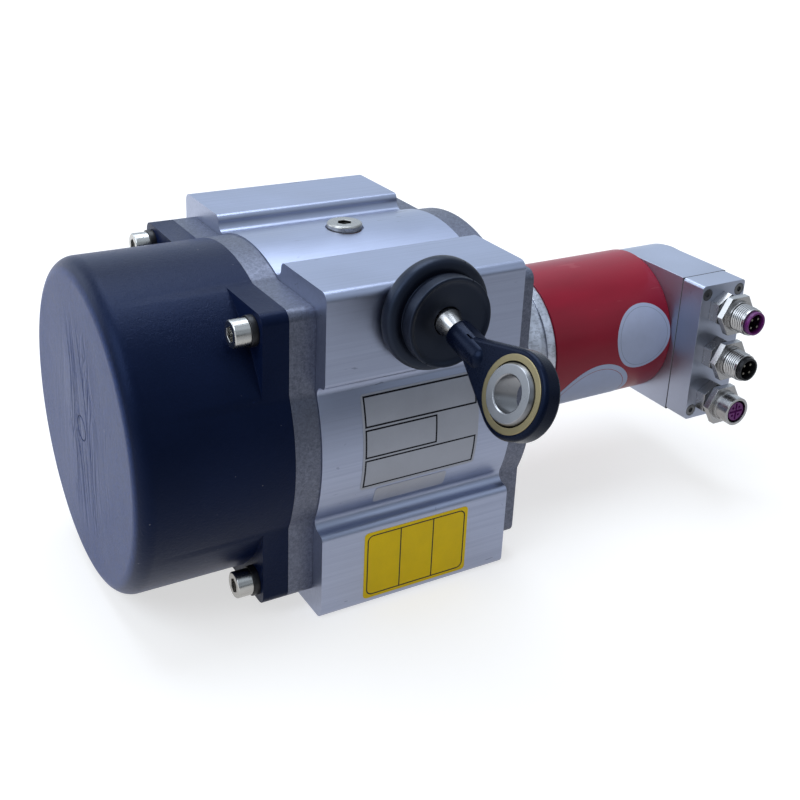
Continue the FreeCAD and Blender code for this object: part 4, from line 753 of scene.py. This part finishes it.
class ENCODER_OT_wire_end(EncoderOperator, bpy.types.Operator):
    """Ferrule, rod end with its slit, brass ring and ball"""

    bl_idname = "encoder.wire_end"
    bl_label = "Wire end"

    def execute(self, context):
        edge = context.scene.encoder_sizes.edge_round
        corners = [(-0.0049, 0, 0), (-0.0046, 0.0018, 0.0006), (-0.0034, 0.0036, 0.0010),
                   (-0.0014, 0.0049, 0.0008), (0.0006, 0.0051, 0.0001), (0.0070, 0.0031, 0.0002),
                   (0.0070, 0.0025, 0), (0.0120, 0.0025, 0), (0.0120, 0, 0)]
        stand_in(lathe("wire_ferrule_turned", corners, PIVOT, NECK_AXIS, 64), "wire_ferrule")

        half, outer = 0.0040, 0.0130
        corners = [(-half, 0.0107, 0.0001), (-half, outer, 0.0003), (half, outer, 0.0003),
                   (half, 0.0107, 0.0001), (0.0030, 0.01063, 0), (0.0015, 0.01095, 0), (0, 0.01105, 0),
                   (-0.0015, 0.01095, 0), (-0.0030, 0.01063, 0)]
        stand_in(lathe("rod_end_race_turned", corners, EYE_CENTRE, EYE_AXIS), "rod_end_race")

        ball, wide, bore = 0.0110, 0.0055, 0.0060
        flat = math.sqrt(ball ** 2 - wide ** 2)
        corners = [(-0.0051, bore, 0.0001), (-wide, 0.0064, 0.0001), (-wide, flat, 0.0002)]
        for step in range(1, 12):
            angle = math.asin(wide / ball) * (step / 6 - 1)
            corners.append((ball * math.sin(angle), ball * math.cos(angle), 0))
        corners += [(wide, flat, 0.0002), (wide, 0.0064, 0.0001), (0.0051, bore, 0.0001)]
        stand_in(lathe("rod_end_ball_turned", corners, EYE_CENTRE, EYE_AXIS), "rod_end_ball")

        dress("rod_end", edge * 0.5)
        return {"FINISHED"}


def round_bar(radius, low, high):
    """A round bar about the drum axis between two X."""
    deselect()
    bpy.ops.mesh.primitive_cylinder_add(
        vertices=256, radius=radius, depth=high - low,
        location=((low + high) / 2, 0, AXIS_HEIGHT), rotation=(0, math.pi / 2, 0))
    bar = bpy.context.object
    settle(bar)
    return bar


def box_tool(low, high, corner):
    """A box between two corners, its edges along Y rounded."""
    size = [high[axis] - low[axis] for axis in range(3)]
    middle = [(high[axis] + low[axis]) / 2 for axis in range(3)]
    deselect()
    bpy.ops.mesh.primitive_cube_add(size=1, location=middle)
    tool = bpy.context.object
    tool.scale = size
    settle(tool)
    bpy.ops.object.mode_set(mode="EDIT")
    bpy.ops.mesh.select_all(action="DESELECT")
    bpy.ops.object.mode_set(mode="OBJECT")
    for line in tool.data.edges:
        first, second = (tool.data.vertices[index].co for index in line.vertices)
        line.select = abs(first.y - second.y) > size[1] / 2
    bpy.ops.object.mode_set(mode="EDIT")
    bpy.ops.mesh.select_mode(type="EDGE")
    bpy.ops.mesh.bevel(offset=corner, segments=6, affect="EDGES")
    bpy.ops.object.mode_set(mode="OBJECT")
    return tool


def cut_label(name, radius, thickness, left, right, tool):
    """Cut a label out of a bar that is as thick as the round surface and the label, and keep its skin."""
    margin = 0.002
    piece = round_bar(radius + thickness, left - margin, right + margin)
    piece.name = name
    boolean(piece, tool, "INTERSECT")
    places = [vertex.co.x for vertex in piece.data.vertices]
    core = round_bar(radius - LABEL_SINK, min(places) - margin, max(places) + margin)
    boolean(piece, core, "DIFFERENCE")
    smooth(piece, 30)
    return piece


def wrapped_box(name, radius, thickness, left, right, low_angle, high_angle, corner):
    """A label with rounded corners wrapped on the front of a round surface between two angles."""
    low, high = (AXIS_HEIGHT + radius * math.sin(angle) for angle in (low_angle, high_angle))
    near = -radius * 1.05
    far = -radius * min(math.cos(low_angle), math.cos(high_angle)) + 0.001
    tool = box_tool((left, near, low), (right, far, high), corner)
    return cut_label(name, radius, thickness, left, right, tool)


def wrapped_disc(name, radius, thickness, x, angle, reach):
    """A round label on the front of a tube, its middle at an angle above the front."""
    deselect()
    bpy.ops.mesh.primitive_circle_add(vertices=96, radius=reach, fill_type="NGON", location=(0, 0, 0))
    tool = bpy.context.object
    edit(tool)
    bpy.ops.mesh.extrude_region_move(TRANSFORM_OT_translate={"value": (0, 0, radius * 0.9)})
    bpy.ops.object.mode_set(mode="OBJECT")
    for vertex in tool.data.vertices:
        turn = angle + vertex.co.y / radius
        depth = radius * 0.3 + vertex.co.z
        vertex.co = Vector((
            x + vertex.co.x, -depth * math.cos(turn), AXIS_HEIGHT + depth * math.sin(turn)))
    outward(tool)
    return cut_label(name, radius, thickness, x - reach, x + reach, tool)


class ENCODER_OT_nameplate(EncoderOperator, bpy.types.Operator):
    """Bare nameplate with ruled fields and the strip label under it"""

    bl_idname = "encoder.nameplate"
    bl_label = "Nameplate"

    def execute(self, context):
        sizes = context.scene.encoder_sizes
        left = -sizes.nameplate_width / 2 + 0.0004
        right = left + sizes.nameplate_width
        plate = wrapped_box("nameplate", RECESS_RADIUS, sizes.label_thickness, left, right,
                            math.radians(-14.0), math.radians(20.6), 0.0012)
        edge = 0.0009
        middle = left + sizes.nameplate_width * 0.63
        # The ruled fields as left, right, low and high
        boxes = [(left + edge, right - edge, 0.0753, 0.0868), (left + edge, middle, 0.0632, 0.0746),
                 (left + edge, right - edge, 0.0506, 0.0625)]
        line = sizes.printed_line
        finish = label_finish(
            "Silver label", (0.37, 0.385, 0.44), (0.006, 0.006, 0.010),
            lambda recipe, x, y, z: frames(recipe, x, z, boxes, line), (0.29, 0.42), metallic=0.45)
        attach(plate, "housing", finish)
        half = sizes.strip_width / 2
        middle = -0.002
        strip = wrapped_box("strip_label", RECESS_RADIUS, sizes.label_thickness, middle - half, middle + half,
                            math.radians(-21.5), math.radians(-15.0), 0.0013)
        paler = label_finish("Strip label", (0.47, 0.48, 0.54), (0, 0, 0), None, (0.33, 0.46), metallic=0.3)
        attach(strip, "housing", paler)
        return {"FINISHED"}


class ENCODER_OT_yellow_label(EncoderOperator, bpy.types.Operator):
    """Plain yellow label with three empty fields on the lower front block"""

    bl_idname = "encoder.yellow_label"
    bl_label = "Yellow label"

    def execute(self, context):
        sizes = context.scene.encoder_sizes
        low = 0.0034
        high = low + sizes.yellow_height
        left = -sizes.yellow_width / 2 - 0.0003
        right = left + sizes.yellow_width
        label = box_tool((left, FRONT - sizes.label_thickness, low), (right, FRONT + 0.0001, high), 0.0016)
        label.name = "yellow_label"
        inset = 0.0012
        box = (left + inset, right - inset, low + inset, high - inset)
        dividers = [box[0] + (box[1] - box[0]) * part / 3 for part in (1, 2)]
        line = sizes.printed_line * 0.75
        finish = label_finish(
            "Yellow label", tuple(context.scene.encoder_colours.yellow), (0.012, 0.011, 0.010),
            lambda recipe, x, y, z: rounded_panels(recipe, x, z, box, 0.0026, line, dividers), (0.35, 0.48))
        smooth(label, 30)
        attach(label, "housing", finish)
        return {"FINISHED"}


class ENCODER_OT_round_labels(EncoderOperator, bpy.types.Operator):
    """Two bare round labels on the encoder tube"""

    bl_idname = "encoder.round_labels"
    bl_label = "Round labels"

    def execute(self, context):
        sizes = context.scene.encoder_sizes
        paper = tuple(context.scene.encoder_colours.paper)
        for name, x, angle, reach, ink in (
                ("upper_round_label", 0.1350, math.radians(9.5), sizes.small_disc, (0.25, 0.30, 0.42)),
                ("lower_round_label", 0.1117, math.radians(-45.0), sizes.large_disc, (0.30, 0.03, 0.05))):
            label = wrapped_disc(name, TUBE_RADIUS, sizes.label_thickness, x, angle, reach)
            centre, radius, line = (x, angle), reach * 0.88, 0.00025
            finish = label_finish(
                name.replace("_", " "), paper, ink, lambda *point: wrapped_ring(*point, centre, radius, line),
                (0.38, 0.50), cloud_scale=80.0, fibres=0.0)
            attach(label, "housing", finish)
        return {"FINISHED"}


class ENCODER_OT_threads(EncoderOperator, bpy.types.Operator):
    """Helical threads on the sleeves of the two pinned plugs"""

    bl_idname = "encoder.threads"
    bl_label = "Plug threads"

    def execute(self, context):
        sizes = context.scene.encoder_sizes
        rgb = tuple(context.scene.encoder_colours.nickel)
        # The thread ridges get a lighter nickel: a painted highlight on the crests
        crest_highlight = plated_metal("Thread nickel with painted highlight", darker(rgb, 1.25), 0.32)
        radius = 0.00597
        turns = 6
        lead_in, run_out = 0.0008, 0.0002
        for place in ("top", "middle"):
            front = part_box(f"connector_shell_{place}")[0].y + lead_in
            back = front + turns * sizes.thread_pitch
            centre = sum(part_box(f"connector_insert_{place}"), Vector()) / 2
            deselect()
            bpy.ops.mesh.primitive_circle_add(
                vertices=3, radius=sizes.thread_depth, location=(radius, 0, 0), rotation=(math.pi / 2, 0, 0))
            ridge = bpy.context.object
            ridge.name = f"plug_thread_{place}"
            settle(ridge)
            modify(ridge, "SCREW", axis="Z", steps=48, render_steps=48, screw_offset=sizes.thread_pitch,
                   iterations=turns)
            ridge.rotation_euler = (math.pi / 2, 0, 0)
            ridge.location = (centre.x, back, centre.z)
            settle(ridge)
            outward(ridge)
            smooth(ridge, 50)
            attach(ridge, "housing", crest_highlight)
            sleeve = bpy.data.objects[f"connector_shell_{place}_rounded"]
            grooves = (front + run_out, back - run_out)
            # Painted shade between the ridges: the sleeve is darkened along the band of the thread's grooves
            sleeve.data.materials[0] = plated_metal(
                f"Nickel with painted groove shade {place}", rgb, 0.26,
                recess_shade=lambda recipe, x, y, z: inside(recipe, y, *grooves))
        return {"FINISHED"}


class ENCODER_OT_wire(EncoderOperator, bpy.types.Operator):
    """Stranded measuring wire that runs out to the wire end, clear of the drum's flange"""

    bl_idname = "encoder.wire"
    bl_label = "Measuring wire"

    def execute(self, context):
        low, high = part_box("measuring_wire")
        radius = (high.z - low.z) / 2
        flange_gap = 0.0042
        start = high.y - flange_gap
        deselect()
        bpy.ops.mesh.primitive_cylinder_add(
            vertices=12, radius=radius * 0.52, depth=start - low.y, location=(radius * 0.5, 0, 0))
        strand = bpy.context.object
        strand.name = "measuring_wire_strands"
        settle(strand)
        bpy.ops.object.mode_set(mode="EDIT")
        for turn in (math.pi, math.pi / 2):
            bpy.ops.mesh.select_all(action="SELECT")
            bpy.ops.mesh.duplicate()
            bpy.ops.transform.rotate(value=turn, orient_axis="Z", center_override=(0, 0, 0))
        bpy.ops.object.mode_set(mode="OBJECT")
        strand.rotation_euler = (math.pi / 2, 0, 0)
        strand.location = (0, (low.y + start) / 2, WIRE_HEIGHT)
        settle(strand)
        smooth(strand, 50)
        strand.data.materials.append(finishes["wire_steel"])
        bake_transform(strand)
        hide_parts("measuring_wire")
        return {"FINISHED"}


class ENCODER_OT_stage(EncoderOperator, bpy.types.Operator):
    """Pale floor, soft studio light and the camera"""

    bl_idname = "encoder.stage"
    bl_label = "Stage"

    def execute(self, context):
        scene = context.scene
        scene.view_settings.view_transform = "Standard"
        deselect()
        bpy.ops.mesh.primitive_plane_add(size=8, location=(0, 0, -0.0002))
        floor = bpy.context.object
        floor.name = "studio_floor"
        recipe = Recipe("Studio floor")
        cloud = recipe.noise(recipe.place, 3.0, 2.0)
        behind = recipe.towards(recipe.place, (-0.515, 0.857, 0))
        away = recipe.add("ShaderNodeVectorMath", "Value", {0: recipe.place}, operation="LENGTH")
        seen = recipe.seen_white(recipe.span(behind, -0.26, 0.0, 0.10, 1.0))
        glow = recipe.times(seen, recipe.span(away, 0.5, 2.6, 0.62, 0.84))
        tone = recipe.blend(cloud, (0.50, 0.50, 0.50), (0.52, 0.52, 0.52))
        floor.data.materials.append(recipe.paint(
            Base_Color=tone, Roughness=0.9, Specular_IOR_Level=0.1, Emission_Color=(1, 1, 1),
            Emission_Strength=glow))

        scene.world = bpy.data.worlds.new("Studio")
        sky = Nodes(scene.world)
        heading = sky.nodes.new("ShaderNodeTexCoord").outputs["Generated"]
        # What metal mirrors: a pale wall's band, the room's light side and a lamp over the front right
        height = sky.parts(heading)[2]
        mirrored = sky.times(sky.span(height, 0.08, 0.22, 0.0, 0.55), sky.span(height, 0.45, 0.62, 1.0, 0.0))
        for direction, start, end, dark in (
                ((-0.45, 0.75, 0.48), -0.5, 0.35, 0.14), ((0.48, -0.50, 0.72), 0.92, 0.98, 0.0)):
            patch = sky.span(sky.towards(heading, direction), start, end, dark, 1.0)
            mirrored = sky.calc("MAXIMUM", mirrored, patch)
        seen = sky.seen_white(mirrored)
        glossy = sky.nodes.new("ShaderNodeLightPath").outputs["Is Glossy Ray"]
        background = sky.nodes["Background"]
        sky.feed(background.inputs["Strength"], sky.calc("MAXIMUM", seen, sky.span(glossy, 0, 1, 0.34, 0.0)))
        sky.feed(background.inputs["Color"], sky.add("ShaderNodeMix", 2, {
            0: glossy, 6: (1, 1, 1), 7: (0.76, 0.87, 1.0)}, data_type="RGBA"))

        middle = Vector((0.03, 0, 0.06))
        for name, place, size, power in (
                ("key", (-1.3, -0.2, 1.3), 1.2, 12.0),
                ("fill", (1.3, -1.2, 0.7), 1.2, 0.9),
                ("top", (0.1, 0.6, 1.9), 1.5, 24.0),
                ("back", (-1.2, 1.3, 0.8), 1.2, 6.0)):
            deselect()
            bpy.ops.object.light_add(type="AREA", location=place)
            lamp = bpy.context.object
            lamp.name = f"{name}_light"
            lamp.data.shape = "DISK"
            lamp.data.size = size
            lamp.data.energy = power
            lamp.data.color = (0.82, 0.90, 1.0)
            lamp.rotation_euler = (middle - Vector(place)).to_track_quat("-Z", "Y").to_euler()

        camera = bpy.data.objects.new("camera", bpy.data.cameras.new("camera"))
        scene.collection.objects.link(camera)
        level = math.cos(PITCH)
        ahead = Vector((math.sin(YAW) * level, math.cos(YAW) * level, -math.sin(PITCH)))
        right = Vector((math.cos(YAW), -math.sin(YAW), 0))
        up = right.cross(ahead)
        across = right * math.cos(ROLL) + up * math.sin(ROLL)
        upright = up * math.cos(ROLL) - right * math.sin(ROLL)
        turned = Matrix((across, upright, -ahead)).transposed().to_4x4()
        camera.matrix_world = Matrix.Translation(CAMERA_PLACE) @ turned
        camera.data.sensor_width = 36
        camera.data.lens = FOCAL_LENGTH / PICTURE_SIDE * camera.data.sensor_width
        camera.data.shift_y = (CENTRE_ROW - PICTURE_SIDE / 2) / PICTURE_SIDE
        camera.data.clip_start = 0.01
        camera.data.clip_end = 50
        scene.camera = camera
        return {"FINISHED"}


class ENCODER_PT_panel(bpy.types.Panel):
    """Lists the steps that dress the encoder"""

    bl_idname = "ENCODER_PT_panel"
    bl_label = "Draw wire encoder"
    bl_space_type = "VIEW_3D"
    bl_region_type = "UI"
    bl_category = "Encoder"

    def draw(self, context):
        for step in STEPS:
            self.layout.operator(step.bl_idname)
        for group in (context.scene.encoder_sizes, context.scene.encoder_colours):
            box = self.layout.box()
            for name in group.__annotations__:
                box.prop(group, name)


STEPS = (
    ENCODER_OT_finishes,
    ENCODER_OT_castings,
    ENCODER_OT_small_parts,
    ENCODER_OT_buffer,
    ENCODER_OT_wire_end,
    ENCODER_OT_nameplate,
    ENCODER_OT_yellow_label,
    ENCODER_OT_round_labels,
    ENCODER_OT_threads,
    ENCODER_OT_wire,
    ENCODER_OT_stage,
)
CLASSES = (EncoderSizes, EncoderColours, *STEPS, ENCODER_PT_panel)


def register():
    for item in CLASSES:
        bpy.utils.register_class(item)
    bpy.types.Scene.encoder_sizes = bpy.props.PointerProperty(type=EncoderSizes)
    bpy.types.Scene.encoder_colours = bpy.props.PointerProperty(type=EncoderColours)


def unregister():
    del bpy.types.Scene.encoder_colours
    del bpy.types.Scene.encoder_sizes
    for item in reversed(CLASSES):
        bpy.utils.unregister_class(item)


def main():
    register()
    for step in STEPS:
        group, name = step.bl_idname.split(".")
        getattr(getattr(bpy.ops, group), name)()
    deselect()


if __name__ == "__main__":
    main()
